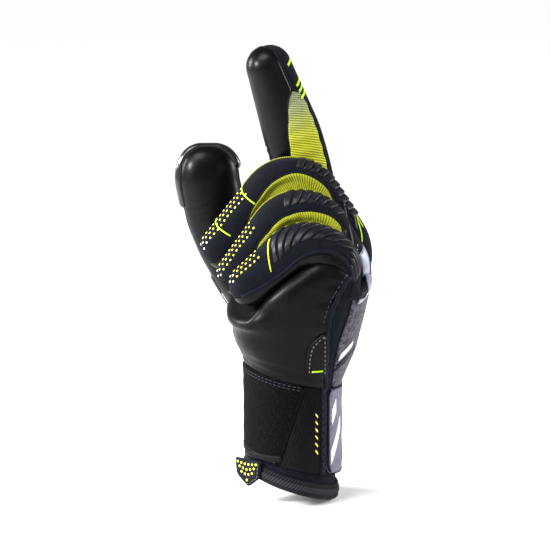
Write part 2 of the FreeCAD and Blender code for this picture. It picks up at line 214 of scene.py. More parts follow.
THUMB = np.array([  # distance, x, y, z, lean, splay, half width, half thickness
    (-12, 6, 26, 81, 36, 40, 20, 13),
    (0, 0, 34, 90, 36, 36, 21, 15),
    (42, -24, 61, 117, 33, 14, 18.5, 12.6),
    (67, -37, 63.2, 138, 27, 0, 17.8, 12.2),
    (84, -43.5, 63.2, 154, 14, 0, 17.8, 12.2),
    (108.5, -48.5, 63.2, 178, 6, 0, 17.8, 11.6),
    (129, -49, 63.2, 198.5, 0, 0, 17.6, 10.6),
])
THUMB_COLUMNS = [table(THUMB[:, 0], THUMB[:, k], 6) for k in range(1, 8)]
THUMB_END, THUMB_DOME = 129.0, 20.0
POLE_GAP = 0.003  # how far short of the end of a finger its panels stop


def thumb(s, phi):
    """The surface of the thumb, splayed across the palm at its root."""
    s, phi = both(s, phi)
    x, y, z, lean, splay, half_x, half_y = (column(s) for column in THUMB_COLUMNS)
    q = np.clip((s - THUMB_END + THUMB_DOME) / THUMB_DOME, 0, 0.9998)
    close = np.maximum(1 - q ** 2.5, 0) ** (1 / 2.2)
    a, l, p = np.radians(phi), np.radians(lean), np.radians(splay)
    wide = power(np.cos(a), 0.85) * half_x * close
    deep = -power(np.sin(a), 0.85) * half_y * close
    across = np.stack([np.cos(l), np.zeros_like(l), np.sin(l)], -1)
    depth = np.stack([np.sin(p) * np.sin(l), np.cos(p), -np.sin(p) * np.cos(l)], -1)
    return np.stack([x, y, z], -1) + across * wide[..., None] + depth * deep[..., None]


def wrist_at(tilt, mid):
    """The surface round the wrist, with s measured up from a tilted line."""
    def surface(s, phi):
        s, phi = both(s, phi)
        a = np.radians(phi)
        x = WRIST_X + WRIST_HALF_X * np.cos(a)
        z = mid + s - tilt * (x - WRIST_X)
        flare = 1 + 0.02 * smooth(55, 80, z)
        return np.stack([WRIST_X + WRIST_HALF_X * np.cos(a) * flare, -WRIST_HALF_Y * np.sin(a) * flare, z],
                        -1)
    return surface


band = wrist_at(BAND_TILT, BAND_MID)
cuff = wrist_at(CUFF_TILT, -CUFF_TILT * WRIST_X)


# ---------------------------------------------------------------- meshes

def make_mesh(name, verts, faces, mat, uvs=None):
    mesh = bpy.data.meshes.new(name)
    mesh.from_pydata((np.asarray(verts, float) * MM).tolist(), [], faces)
    if uvs is not None:
        layer = mesh.uv_layers.new(name="UVMap")
        index = np.zeros(len(mesh.loops), np.int32)
        mesh.loops.foreach_get("vertex_index", index)
        layer.data.foreach_set("uv", np.asarray(uvs, np.float32)[index].ravel())
    edit = bmesh.new()
    edit.from_mesh(mesh)
    bmesh.ops.recalc_face_normals(edit, faces=edit.faces)
    edit.to_mesh(mesh)
    edit.free()
    mesh.polygons.foreach_set("use_smooth", [True] * len(mesh.polygons))
    mesh.materials.append(MAT[mat])
    made = bpy.data.objects.new(name, mesh)
    bpy.context.scene.collection.objects.link(made)
    return made


def grid_faces(rows, cols, offset=0, wrap=False, flip=False):
    faces = []
    for i in range(rows - 1):
        for j in range(cols if wrap else cols - 1):
            k = (j + 1) % cols
            low, high = offset + i * cols, offset + (i + 1) * cols
            quad = (low + j, low + k, high + k, high + j)
            faces.append(quad[::-1] if flip else quad)
    return faces


def shell_faces(rows, cols, wrap, offset=0):
    """Faces of a closed shell: an outer grid, an inner grid and the rim between them."""
    other = offset + rows * cols
    faces = grid_faces(rows, cols, offset, wrap) + grid_faces(rows, cols, other, wrap, True)
    for i in (0, rows - 1):
        for j in range(cols if wrap else cols - 1):
            a, b = i * cols + j, i * cols + (j + 1) % cols
            faces.append((offset + a, other + a, other + b, offset + b))
    if not wrap:
        for j in (0, cols - 1):
            for i in range(rows - 1):
                a, b = i * cols + j, (i + 1) * cols + j
                faces.append((offset + a, other + a, other + b, offset + b))
    return faces


def spaced(length, step, roll):
    """Stations from 0 to 1, closer together near both ends."""
    roll = min(roll, length * 0.45)
    edge = roll * np.array([0, 0.06, 0.2, 0.42, 0.7, 1.0])
    inner = np.linspace(roll, length - roll, max(3, int((length - 2 * roll) / step) + 2))[1:-1]
    return np.concatenate([edge, inner, length - edge[::-1]]) / length


def normal_at(surface, s, phi):
    ds, dp = 0.35, 0.7
    u = surface(s + ds, phi) - surface(s - ds, phi)
    v = surface(s, phi + dp) - surface(s, phi - dp)
    return unit(np.cross(u, v))


def lengths(points, axis):
    """The distance of each grid point from both ends of its row or column, and the distance run."""
    steps = np.linalg.norm(np.diff(points, axis=axis), axis=-1)
    pad = [(0, 0), (0, 0)]
    pad[axis] = (1, 0)
    run = np.pad(np.cumsum(steps, axis), pad)
    total = run.take([-1], axis)
    return np.minimum(run, total - run), run


def rounded(distance, roll):
    x = np.clip(distance / roll, 0, 1)
    return np.sqrt(1 - (1 - x) ** 2)


def panel_grid(surface, s_range, edges, thick=1.6, lift=0.0, roll=2.0, puff=0.0, step=1.8, detail=None,
               rolled=(2, True), skin=0.8):
    """The outer grid, the inner grid and the texture coordinates of a sewn panel."""
    low, high = [edge if callable(edge) else (lambda s, value=edge: np.full_like(s, value)) for edge in edges]
    s = s_range[0] + (s_range[1] - s_range[0]) * spaced(abs(s_range[1] - s_range[0]), step, roll)
    middle = surface(np.full(41, s.mean()), np.linspace(low(s).mean(), high(s).mean(), 41))
    width = np.linalg.norm(np.diff(middle, axis=0), axis=-1).sum()
    t = spaced(max(width, 2), step, roll)
    lo, hi = low(s)[:, None], high(s)[:, None]
    phi = lo + (hi - lo) * t[None, :]
    s = np.repeat(s[:, None], len(t), 1)
    base = surface(s, phi)
    normal = normal_at(surface, s, phi)
    from_end, run_s = lengths(base, 0)
    from_side, run_t = lengths(base, 1)
    shape = rounded(from_side, np.minimum(roll, 0.2 * run_t[:, -1:] + 1e-6)) if rolled[1] else np.ones_like(s)
    half = len(s) // 2
    for end, rows in ((0, slice(0, half)), (1, slice(half, None))):
        if rolled[0] in (end, 2):
            shape[rows] *= rounded(from_end[rows], roll)
    height = lift + thick * shape + puff * shape * (1 - (2 * t[None, :] - 1) ** 2)
    if detail is not None:
        height = height + detail(s, phi, run_s, run_t) * shape
    outer = base + normal * height[..., None]
    inner = base + normal * (lift - skin)
    return outer, inner, np.stack([run_t, s], -1)


def make_shells(name, shells, mat, wrap=False):
    """One mesh of closed shells, each given by its outer grid, inner grid and texture coordinates."""
    verts, faces, uvs, count = [], [], [], 0
    for outer, inner, uv in shells:
        rows, cols = outer.shape[:2]
        faces += shell_faces(rows, cols, wrap, count)
        verts += [outer.reshape(-1, 3), inner.reshape(-1, 3)]
        uvs += [uv.reshape(-1, 2)] * 2
        count += 2 * rows * cols
    return make_mesh(name, np.concatenate(verts), faces, mat, np.concatenate(uvs))


def panel(name, surface, s_range, edges, mat, **shape):
    """A sewn panel: a closed shell on a surface with rolled edges. rolled says which ends roll (0, 1, 2 for
    both, 3 for neither) and whether the sides do."""
    return make_shells(name, [panel_grid(surface, s_range, edges, **shape)], mat)


def panels(name, surface, cells, mat, **shape):
    """Several small panels as one piece. Each cell is its range of s and its two edges."""
    shape = {"thick": 1.2, "roll": 1.0, "step": 1.4, "skin": 0.6} | shape
    return make_shells(name, [panel_grid(surface, *cell, **shape) for cell in cells], mat)


def sleeve(name, surface, s_range, mat, thick=1.2, lift=0.0, step=2.5, roll=0.8):
    """A closed shell that goes all the way round a part."""
    s = s_range[0] + (s_range[1] - s_range[0]) * spaced(abs(s_range[1] - s_range[0]), step, roll)
    s, phi = np.meshgrid(s, np.linspace(0, 360, 97)[:-1], indexing="ij")
    base, normal = surface(s, phi), normal_at(surface, s, phi)
    height = lift + thick * rounded(lengths(base, 0)[0], roll)
    outer, inner = base + normal * height[..., None], base + normal * (lift - 0.5)
    return make_shells(name, [(outer, inner, np.stack([phi * 0.3, s], -1))], mat, wrap=True)


def path_on(surface, s, phi, lift):
    """Points this far above a surface, and the surface's normals there."""
    s, phi = both(s, phi)
    normal = normal_at(surface, s, phi)
    return surface(s, phi) + normal * lift, normal


def line_on(surface, first, last, lift, count=60, bow=0.0):
    """A path above a surface between two (s, phi) spots, bowed along s."""
    at = np.linspace(0, 1, count)
    s = first[0] + (last[0] - first[0]) * at + bow * np.sin(math.pi * at)
    return path_on(surface, s, first[1] + (last[1] - first[1]) * at, lift)


def decals(name, surface, patches, mat, lift=0.0, thick=0.25, count=(16, 8)):
    """Thin raised prints, each a patch of the surface given by its four corners' s and phi."""
    u, v = np.linspace(0, 1, count[0])[:, None, None], np.linspace(0, 1, count[1])[None, :, None]
    shells = []
    for corners in patches:
        a, b, c, d = (np.array(corner, float) for corner in corners)
        at = (a * (1 - u) + b * u) * (1 - v) + (d * (1 - u) + c * u) * v
        outer, normal = path_on(surface, at[..., 0], at[..., 1], lift + thick)
        shells.append((outer, outer - normal * (thick + 0.6), at[..., ::-1] * (0.3, 1)))
    return make_shells(name, shells, mat)


def evenly(points, normals, step):
    """The path sampled again at an even distance."""
    run = np.concatenate([[0], np.cumsum(np.linalg.norm(np.diff(points, axis=0), axis=-1))])
    at = np.linspace(0, run[-1], max(3, int(run[-1] / step)))
    pick = lambda values: np.stack([np.interp(at, run, values[:, k]) for k in range(3)], -1)
    return pick(points), unit(pick(normals)), at


def piping(name, path, mat, radius=1.0, flat=1.0, step=1.2, wave=None, sides=10):
    """A round or flattened cord of fabric along a path, with closed ends."""
    points, normals, at = evenly(*path, step)
    tangent = unit(np.gradient(points, axis=0))
    across = unit(np.cross(tangent, normals))
    normals = np.cross(across, tangent)
    taper = np.sqrt(np.clip(np.minimum(at, at[-1] - at) / radius + 0.06, 0, 1))
    if wave is not None:
        points = points + across * wave(at)[:, None]
    angle = np.linspace(0, 2 * math.pi, sides, endpoint=False)
    wide, deep = radius * np.outer(taper, np.cos(angle)), radius * flat * np.outer(taper, np.sin(angle))
    rings = points[:, None] + across[:, None] * wide[..., None] + normals[:, None] * deep[..., None]
    count = len(points)
    faces = grid_faces(count, sides, 0, True)
    faces += [tuple(range(sides))[::-1], tuple((count - 1) * sides + k for k in range(sides))]
    uv = np.stack(np.broadcast_arrays(angle[None, :] * radius, at[:, None]), -1).reshape(-1, 2)
    return make_mesh(name, rings.reshape(-1, 3), faces, mat, uv)


def stitches(name, paths, mat, length=2.3, gap=1.3, radius=0.32, slant=0.0):
    """Runs of thread along paths, each stitch a short bent capsule that dips into the cloth at its ends."""
    verts, faces, count = [], [], 0
    ts, radii = np.array([-0.5, -0.42, -0.15, 0.15, 0.42, 0.5]), np.array([0.25, 0.8, 1, 1, 0.8, 0.25])
    lifts = np.array([-0.8, 0.1, 0.6, 0.6, 0.1, -0.8])
    angle = np.linspace(0, 2 * math.pi, 6, endpoint=False)
    for points, normals in paths:
        run = np.linalg.norm(np.diff(points, axis=0), axis=-1).sum()
        points, normals, _ = evenly(points, normals, run / max(2, round(run / (length + gap))))
        middle, normal = (points[1:] + points[:-1]) / 2, unit(normals[1:] + normals[:-1])
        tangent = unit(points[1:] - points[:-1])
        across = unit(np.cross(tangent, normal))
        tangent = unit(tangent + across * slant)
        across = unit(np.cross(tangent, normal))
        for m, n, d, b in zip(middle, normal, tangent, across):
            spine = m + np.outer(ts * length, d) + np.outer(lifts * radius, n)
            circle = np.outer(np.cos(angle), b) + np.outer(np.sin(angle), n)
            verts.append((spine[:, None] + radius * radii[:, None, None] * circle).reshape(-1, 3))
            faces += grid_faces(6, 6, count, True)
            faces += [tuple(count + k for k in range(6))[::-1], tuple(count + 30 + k for k in range(6))]
            count += 36
    return make_mesh(name, np.concatenate(verts), faces, mat)


def domes(name, points, normals, tangent, mat, radius, height, oval=1.0):
    """Raised grip dots: low domes at these points."""
    across = unit(np.cross(tangent, normals))
    angle = np.linspace(0, 2 * math.pi, 12, endpoint=False)
    rings = [(1.0, -0.6), (1.0, 0.35), (0.86, 0.75), (0.5, 1.0)]
    verts, faces = [], []
    for number, (p, n, d, b) in enumerate(zip(points, normals, tangent, across)):
        start = number * (12 * len(rings) + 1)
        for share, up in rings:
            verts.append(p + n * height * up + radius * share * (
                b * np.cos(angle)[:, None] + d * oval * np.sin(angle)[:, None]))
        verts.append((p + n * height * 1.08)[None])
        faces += grid_faces(len(rings), 12, start, True)
        last = start + 12 * (len(rings) - 1)
        faces += [(last + k, last + (k + 1) % 12, last + 12) for k in range(12)]
        faces.append(tuple(start + k for k in range(12))[::-1])
    return make_mesh(name, np.concatenate(verts), faces, mat)


# ---------------------------------------------------------------- materials

class Shader:
    """A material being made. Its coordinates are the sewn panels' own, in millimetres."""

    def __init__(self, name, color, rough=0.6, **more):
        self.mat = bpy.data.materials.new(name)
        self.mat.use_nodes = True
        self.tree = self.mat.node_tree
        self.bsdf = self.tree.nodes["Principled BSDF"]
        self.set("Base Color", (*color, 1))
        self.set("Roughness", rough)
        self.set("Specular IOR Level", 0.05)
        for key, value in more.items():
            self.set(key.replace("_", " "), value)
        parts = self.node("SeparateXYZ", {"Vector": self.node("UVMap").outputs[0]})
        self.u, self.v = parts.outputs[0], parts.outputs[1]
        self.spot = self.node("TexCoord").outputs["Object"]
        self.heights = None

    def put(self, socket, value):
        if isinstance(value, bpy.types.NodeSocket):
            self.tree.links.new(value, socket)
        elif socket.type == "RGBA" and len(value) == 3:
            socket.default_value = (*value, 1)
        else:
            socket.default_value = value

    def node(self, kind, inputs=None, **settings):
        made = self.tree.nodes.new(f"ShaderNode{kind}")
        for key, value in settings.items():
            setattr(made, key, value)
        for key, value in (inputs or {}).items():
            self.put(made.inputs[key], value)
        return made

    def set(self, name, value):
        self.put(self.bsdf.inputs[name], value)

    def math(self, operation, *values):
        return self.node("Math", dict(enumerate(values)), operation=operation).outputs[0]

    def mix(self, share, a, b):
        return self.node("Mix", {0: share, 6: a, 7: b}, data_type="RGBA").outputs[2]

    def noise(self, size, detail=4.0, rough=0.55, warp=0.0):
        """Soft noise from 0 to 1 with features of about this size in millimetres."""
        inputs = {"Vector": self.spot, "Scale": 1 / (size * MM), "Detail": detail, "Roughness": rough,
                  "Distortion": warp}
        return self.node("TexNoise", inputs).outputs[0]

    def cells(self, size):
        return self.node("TexVoronoi", {"Vector": self.spot, "Scale": 1 / (size * MM)}).outputs[0]

    def ridge(self, pitch, turn=0.0):
        """Parallel ridges from 0 to 1. Turn is the angle from across the panel towards along it."""
        a = math.radians(turn)
        line = self.math("ADD", self.math("MULTIPLY", self.u, math.sin(a)),
                         self.math("MULTIPLY", self.v, math.cos(a)))
        wave = self.math("SINE", self.math("MULTIPLY", line, 2 * math.pi / pitch))
        return self.math("MULTIPLY_ADD", wave, 0.5, 0.5)

    def span(self, value, low, high, out_low=0.0, out_high=1.0):
        inputs = dict(enumerate((value, low, high, out_low, out_high)))
        return self.node("MapRange", inputs, interpolation_type="SMOOTHSTEP").outputs[0]

    def relief(self, height, depth):
        """Adds surface relief of this depth in millimetres."""
        inputs = {"Height": height, "Distance": depth * MM, "Strength": 1.0}
        if self.heights is not None:
            inputs["Normal"] = self.heights
        self.heights = self.node("Bump", inputs).outputs[0]
        self.set("Normal", self.heights)


def knit(name, color, pitch=0.9, rough=0.85, depth=0.16, fuzz=0.12):
    """Fine double knit: crossed ridges, a little fuzz, random colour and painted shade between the loops."""
    made = Shader(name, color, rough, Sheen_Weight=0.02, Sheen_Roughness=0.45)
    loops = made.math("MULTIPLY", made.ridge(pitch, 58), made.ridge(pitch, -58))
    tone = made.math("ADD", made.math("MULTIPLY", loops, 0.35), made.math("MULTIPLY", made.noise(5), 0.35))
    dark = tuple(c * 0.55 for c in color)
    light = tuple(c * 1.7 + 0.001 for c in color)
    # Painted shade: the colour is darker between the knit loops, where their relief is low; the noise adds
    # random tone.
    made.set("Base Color", made.mix(made.span(tone, 0.1, 0.55), dark, light))
    made.relief(loops, depth)
    made.relief(made.noise(0.45), fuzz * 0.5)
    return made


def latex(name, color=(0.0008, 0.0008, 0.0011), rough=0.4, grain=0.1, crease=0.35, coat=0.07):
    """Foam latex: satin, faintly grained, with soft creases and worn lighter patches."""
    made = Shader(name, color, rough, Coat_Weight=coat, Coat_Roughness=0.24)
    worn = made.noise(14, 5, 0.6)
    light = tuple(c * 1.7 + 0.0006 for c in color)
    made.set("Base Color", made.mix(made.span(worn, 0.45, 0.75), color, light))
    made.set("Roughness", made.span(worn, 0.3, 0.75, rough - 0.05, rough + 0.13))
    made.relief(made.noise(7, 3, 0.5, warp=0.6), crease)
    made.relief(made.noise(0.5, 2), grain * 0.6)
    return made


def rib_knit(name, pitch, turn, ribs, cloud):
    """A lime rib knit without its colours, with its rib pattern and its tone from dark to light, painted
    shade in the rib hollows.
    """
    made = Shader(name, (0.30, 0.32, 0.018), 0.62, Sheen_Weight=0.2, Sheen_Roughness=0.4)
    rib = made.ridge(pitch, turn)
    # Painted shade: the tone is darker in the hollows of the ribs, the same ribs as the relief, by the weight
    # ribs; the noise adds a random cloud.
    tone = made.math("MULTIPLY_ADD", rib, ribs, made.math("MULTIPLY", made.noise(8), cloud))
    return made, rib, made.span(tone, 0.1, 0.75)


def two_tone(name, rough, tone, dark, light, relief, depth, more):
    """A material with one pattern between two colours and one pattern of relief."""
    made = Shader(name, light, rough, **more)
    pattern = lambda kind, *values: getattr(made, kind)(*values)
    made.set("Base Color", made.mix(pattern(*tone), dark, light))
    made.relief(pattern(*relief), depth)
    return made


COATED = {"Coat_Weight": 0.2}
# The hem tapes use this weave for both colour and relief, so their colour is painted shade in the weave's
# grooves.
HEM_WEAVE = ("ridge", 1.0, 65)
TWIST = ("noise", 0.3, 2)
TWO_TONES = {  # name, roughness, pattern of the colour, dark, light, pattern of the relief, depth, settings
    "lime_edge": ("lime_edge_knit", 0.7, ("noise", 4), (0.30, 0.38, 0.01), (0.62, 0.72, 0.03), ("ridge", 1.2),
                  0.15, {"Sheen_Weight": 0.2}),
    "silver": ("silver_foil_print", 0.32, ("noise", 6, 6, 0.7), (0.13, 0.15, 0.19), (0.42, 0.45, 0.54),
               ("ridge", 0.7, 60), 0.05, {"Metallic": 0.3}),
    "white": ("white_film_print", 0.4, ("noise", 2.5, 6, 0.7), (0.62, 0.62, 0.68), (0.9, 0.9, 0.93),
              ("noise", 0.6), 0.05, COATED),
    "green": ("lime_film_print", 0.45, ("noise", 2.0, 5, 0.7), (0.22, 0.42, 0.01), (0.55, 0.8, 0.03),
              ("noise", 0.5), 0.04, {}),
    "grip": ("yellow_grip_rubber", 0.4, ("noise", 1.5), (0.6, 0.64, 0.03), (0.85, 0.88, 0.15),
             ("noise", 0.35), 0.03, COATED),
    "pale_grip": ("pale_grip_rubber", 0.4, ("noise", 1.5), (0.68, 0.7, 0.4), (0.9, 0.9, 0.72),
                  ("noise", 0.35), 0.03, COATED),
    "elastic": ("ribbed_elastic", 0.6, ("noise", 0.6), (0.0006, 0.0006, 0.0008), (0.006, 0.006, 0.007),
                ("ridge", 0.7, 10), 0.08, {"Coat_Weight": 0.05, "Coat_Roughness": 0.35}),
    "hooks": ("hook_strip", 0.45, ("noise", 1.0), (0.012, 0.012, 0.015), (0.04, 0.04, 0.045), ("cells", 1.0),
              0.4, {}),
    "hem": ("hem_tape", 0.8, HEM_WEAVE, (0.002, 0.002, 0.003), (0.018, 0.018, 0.021), HEM_WEAVE, 0.08, {}),
    "hem_light": ("grey_hem_tape", 0.8, HEM_WEAVE, (0.006, 0.006, 0.008), (0.032, 0.032, 0.038), HEM_WEAVE,
                  0.08, {}),
    "thread": ("thread", 0.55, TWIST, (0.018, 0.0192, 0.027), (0.042, 0.0448, 0.063), TWIST, 0.05, {}),
    "grey_thread": ("grey_thread", 0.55, TWIST, (0.084, 0.084, 0.096), (0.196, 0.196, 0.224), TWIST, 0.05,
                    {}),
}


def make_materials():
    made = {key: two_tone(*row) for key, row in TWO_TONES.items()}
    made["latex"] = latex("black_foam_latex")
    made["finger_latex"] = latex("black_finger_latex", rough=0.38, crease=0.12, coat=0.14)
    made["rim"] = latex("bound_latex_rim", (0.003, 0.003, 0.004), rough=0.16, grain=0.02, crease=0.1,
                        coat=1.0)
    made["navy"] = knit("navy_back_knit", (0.0045, 0.0052, 0.0085))
    made["strip"] = knit("navy_side_knit", (0.004, 0.005, 0.009), pitch=1.1)
    made["binding"] = knit("navy_binding_tape", (0.004, 0.005, 0.010), pitch=0.8, rough=0.6)
    made["sleeve"] = knit("navy_sleeve_knit", (0.004, 0.005, 0.009), pitch=1.3)
    made["lining"] = knit("towelling_lining", (0.035, 0.035, 0.04), pitch=1.6, depth=0.5, fuzz=0.6)
    made["webbing"] = knit("tab_webbing", (0.008, 0.009, 0.013), pitch=1.4, rough=0.65, depth=0.3)

    lime, rib, tone = rib_knit("lime_rib_knit", 1.15, 22, 0.6, 0.4)
    # The lime colour carries painted shade in the rib hollows.
    lime.set("Base Color", lime.mix(tone, (0.10, 0.11, 0.004), (0.30, 0.32, 0.018)))
    lime.relief(rib, 0.2)
    lime.relief(lime.noise(0.5), 0.05)
    made["lime"] = lime

    faded, rib, tone = rib_knit("lime_rib_knit_faded", 1.5, -24, 0.7, 0.25)
    # Both colours carry painted shade in the rib hollows; the change from yellow to grey along the finger is
    # the knit's own colour.
    yellow = faded.mix(tone, (0.16, 0.17, 0.006), (0.42, 0.44, 0.026))
    grey = faded.mix(tone, (0.08, 0.09, 0.04), (0.27, 0.29, 0.17))
    faded.set("Base Color", faded.mix(faded.span(faded.v, 58, 90), yellow, grey))
    faded.relief(rib, 0.3)
    made["lime_faded"] = faded

    rubber = Shader("embossed_rib_rubber", (0.02, 0.02, 0.03), 0.4, Coat_Weight=0.2, Coat_Roughness=0.3)
    grain = rubber.ridge(0.8, 70)
    worn = rubber.span(rubber.noise(3.0, 5, 0.7), 0.42, 0.62)
    # Painted shade: the rubber is darker in the grooves of its fine grain, the same grain as its relief,
    # times a random mottle.
    shade = rubber.math("MULTIPLY", worn, rubber.math("MULTIPLY_ADD", grain, 0.5, 0.5))
    rubber.set("Base Color", rubber.mix(shade, (0.004, 0.004, 0.006), (0.014, 0.014, 0.019)))
    rubber.relief(grain, 0.08)
    rubber.relief(rubber.noise(0.6), 0.04)
    made["rubber"] = rubber

    mesh = Shader("mottled_spacer_mesh", (0.1, 0.09, 0.12), 0.7, Sheen_Weight=0.12)
    hole = mesh.cells(1.5)
    mottle = mesh.span(mesh.noise(3.0, 6, 0.8, warp=0.6), 0.38, 0.66)
    tint = mesh.mix(mottle, (0.006, 0.005, 0.010), (0.10, 0.085, 0.118))
    mesh.set("Base Color", mesh.mix(mesh.span(hole, 0.12, 0.34), (0.006, 0.006, 0.01), tint))
    mesh.relief(mesh.span(hole, 0.05, 0.45), 0.3)
    made["mesh"] = mesh

    heather = Shader("heather_woven_elastic", (0.02, 0.02, 0.022), 0.9)
    twill = heather.math("MULTIPLY", heather.ridge(0.95, 40), heather.ridge(1.15, -52))
    fibres = heather.noise(0.55, 3, 0.8)
    # Painted shade: the light flecks dim in the grooves of the twill, the same twill as the relief; the
    # flecks are the yarn's heather.
    woven = heather.math("MULTIPLY_ADD", twill, 0.7, 0.3)
    fleck = heather.math("MULTIPLY", heather.span(fibres, 0.5, 0.72), woven)
    heather.set("Base Color", heather.mix(fleck, (0.0006, 0.0006, 0.0008), (0.032, 0.032, 0.036)))
    heather.relief(twill, 0.14)
    heather.relief(fibres, 0.07)
    made["heather"] = heather

    velour = Shader("lilac_loop_velour", (0.25, 0.24, 0.31), 0.95, Sheen_Weight=0.25, Sheen_Roughness=0.4)
    pile = velour.noise(0.5, 4, 0.8)
    nap = velour.math("MULTIPLY", velour.noise(6, 3, 0.5, warp=1.0), 0.5)
    tone = velour.math("MULTIPLY_ADD", pile, 0.6, nap)
    velour.set("Base Color", velour.mix(tone, (0.045, 0.045, 0.065), (0.17, 0.17, 0.225)))
    velour.relief(pile, 0.22)
    made["velour"] = velour

    floor = Shader("pale_floor", (0.9, 0.9, 0.9), 0.9)
    floor.relief(floor.noise(3), 0.01)
    made["floor"] = floor
    return {key: shader.mat for key, shader in made.items()}


MAT = make_materials()


# ---------------------------------------------------------------- placing pieces

def place(piece, where, slot, *stands_for, fill=None):
    """where is a body to attach the piece to, or two bodies with the two points of a bend, and then the piece
    is only fixed where it stands. fill is not used."""
    if isinstance(where, str):
        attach(piece, where)
    else:
        first, second, start, end = where
        tuple(np.array(start) * MM)
        tuple(np.array(end) * MM)
        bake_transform(piece)
    if stands_for:
        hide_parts(*stands_for)


FINGERS = {
    "index": Finger("index", (6, 12, 19), (130, 250), 24, 54, (17, 16.5, 12.5), 24, -30),
    "middle": Finger("middle", (-5, 33, 140), (22, 18), 30, 56, (14.5, 14, 12), 25, -24),
    "ring": Finger("ring", (-8, 30, 142), (22, 18), 22, 49, (14, 14, 12), 15.5, -10),
    "little": Finger("little", (-6, 12, 130), (22, 20), 12, 40, (13, 13.5, 11.5), 6, 0),
}
EDGE = {  # where the back panel ends and where the palm's latex starts on each side of a finger
    "index": (table([-60, 10, 60, 84, 89, 93, 130], [26, 24, 22, 18, 26, 52, 58], 2),
              table([-60, 10, 30, 52, 68, 82, 88, 93, 130], [112, 112, 110, 105, 96, 82, 72, 53, 59], 2)),
    "middle": (table([-60, 0, 20, 28, 36, 44, 52, 60, 68, 76, 84, 92, 100, 105, 140],
                     [97, 95, 86, 70, 57, 51, 56, 58, 69, 75, 78, 82, 93, 103, 104], 3),
               table([-60, 0, 6, 15, 30, 60, 80, 92, 103, 140],
                     [98, 97, 104, 118, 124, 125, 120, 113, 104, 105], 4)),
    "ring": (table([-60, 0, 18, 26, 34, 40, 44, 52, 60, 76, 84, 92, 99, 125],
                   [97, 95, 84, 64, 45, 50, 60, 72, 78, 78, 76, 83, 99, 104], 3),
             table([-60, 0, 6, 15, 30, 55, 72, 86, 98, 125],
                   [98, 97, 106, 118, 125, 126, 120, 112, 102, 105], 4)),
    "little": (table([-60, 0, 8, 18, 36, 52, 62, 78, 110], [97, 95, 90, 86, 82, 82, 86, 95, 100], 4),
               table([-60, 0, 6, 14, 30, 50, 62, 78, 110], [98, 97, 104, 114, 120, 120, 112, 96, 101], 4)),
}
PIPING_PHI = table([-60, 14, 20, 28, 34, 40, 46, 52, 60, 68, 78, 86, 94, 110],
                   [58, 58, 60, 68, 78, 90, 99, 106, 111, 113, 110, 105, 97, 94], 4)


def finger_zones(finger):
    """The base and the tip part of a finger, each with its ends and how it bends."""
    name = finger.name
    late = 5 if name == "little" else 0
    first = {"index": (-14, 14), "middle": (-12, 18), "ring": (-12, 11), "little": (-14, 3)}[name]
    knuckle = ("hand", f"{name}_base", finger.centre(first[0]), finger.centre(first[1]))
    bend = (f"{name}_base", f"{name}_tip", finger.centre(finger.bend - 1 + late), finger.centre(finger.tip
                                                                                                + 1))
    return (("base", finger.start, finger.split, knuckle), ("tip", finger.split, finger.end - POLE_GAP, bend))


def fold_of(name):
    """The shape of a side gusset across its width: hollow, or two soft rolls with a fold between."""
    def middle_shape(s, phi, run_s, run_t):
        width = np.maximum(run_t[:, -1:], 4)
        t = run_t / width
        pull = np.sin(2 * math.pi * s / 6.5 + 2.5 * t) * 0.08
        roll = 0.8 * np.exp(-((t - 0.12) / 0.1) ** 2) - 0.9 * np.exp(-((t - 0.34) / 0.06) ** 2)
        return roll - 1.6 * np.sin(math.pi * t) ** 1.5 + pull * np.sin(math.pi * t)

    def ring_shape(s, phi, run_s, run_t):
        width = np.maximum(run_t[:, -1:], 4)
        t = run_t / width
        crease = np.exp(-((t - 0.46) / 0.09) ** 2) * 2.6
        return 0.7 * np.abs(np.sin(2 * math.pi * t)) - crease * smooth(0.0, 0.25, t) + np.sin(s * 0.9) * 0.12

    def plain(s, *_):
        return -0.5 * np.sin(s * 0.35) ** 2

    return {"middle": middle_shape, "ring": ring_shape}.get(name, plain)


def wrinkles(pitch, depth, low=-1e9, high=1e9):
    """Soft creases across a finger's palm side."""
    def shape(s, phi, *_):
        window = smooth(low, low + 6, s) * (1 - smooth(high - 6, high, s))
        return depth * window * np.sin(2 * math.pi * (s + 1.2 * np.sin(phi * 0.06)) / pitch)
    return shape


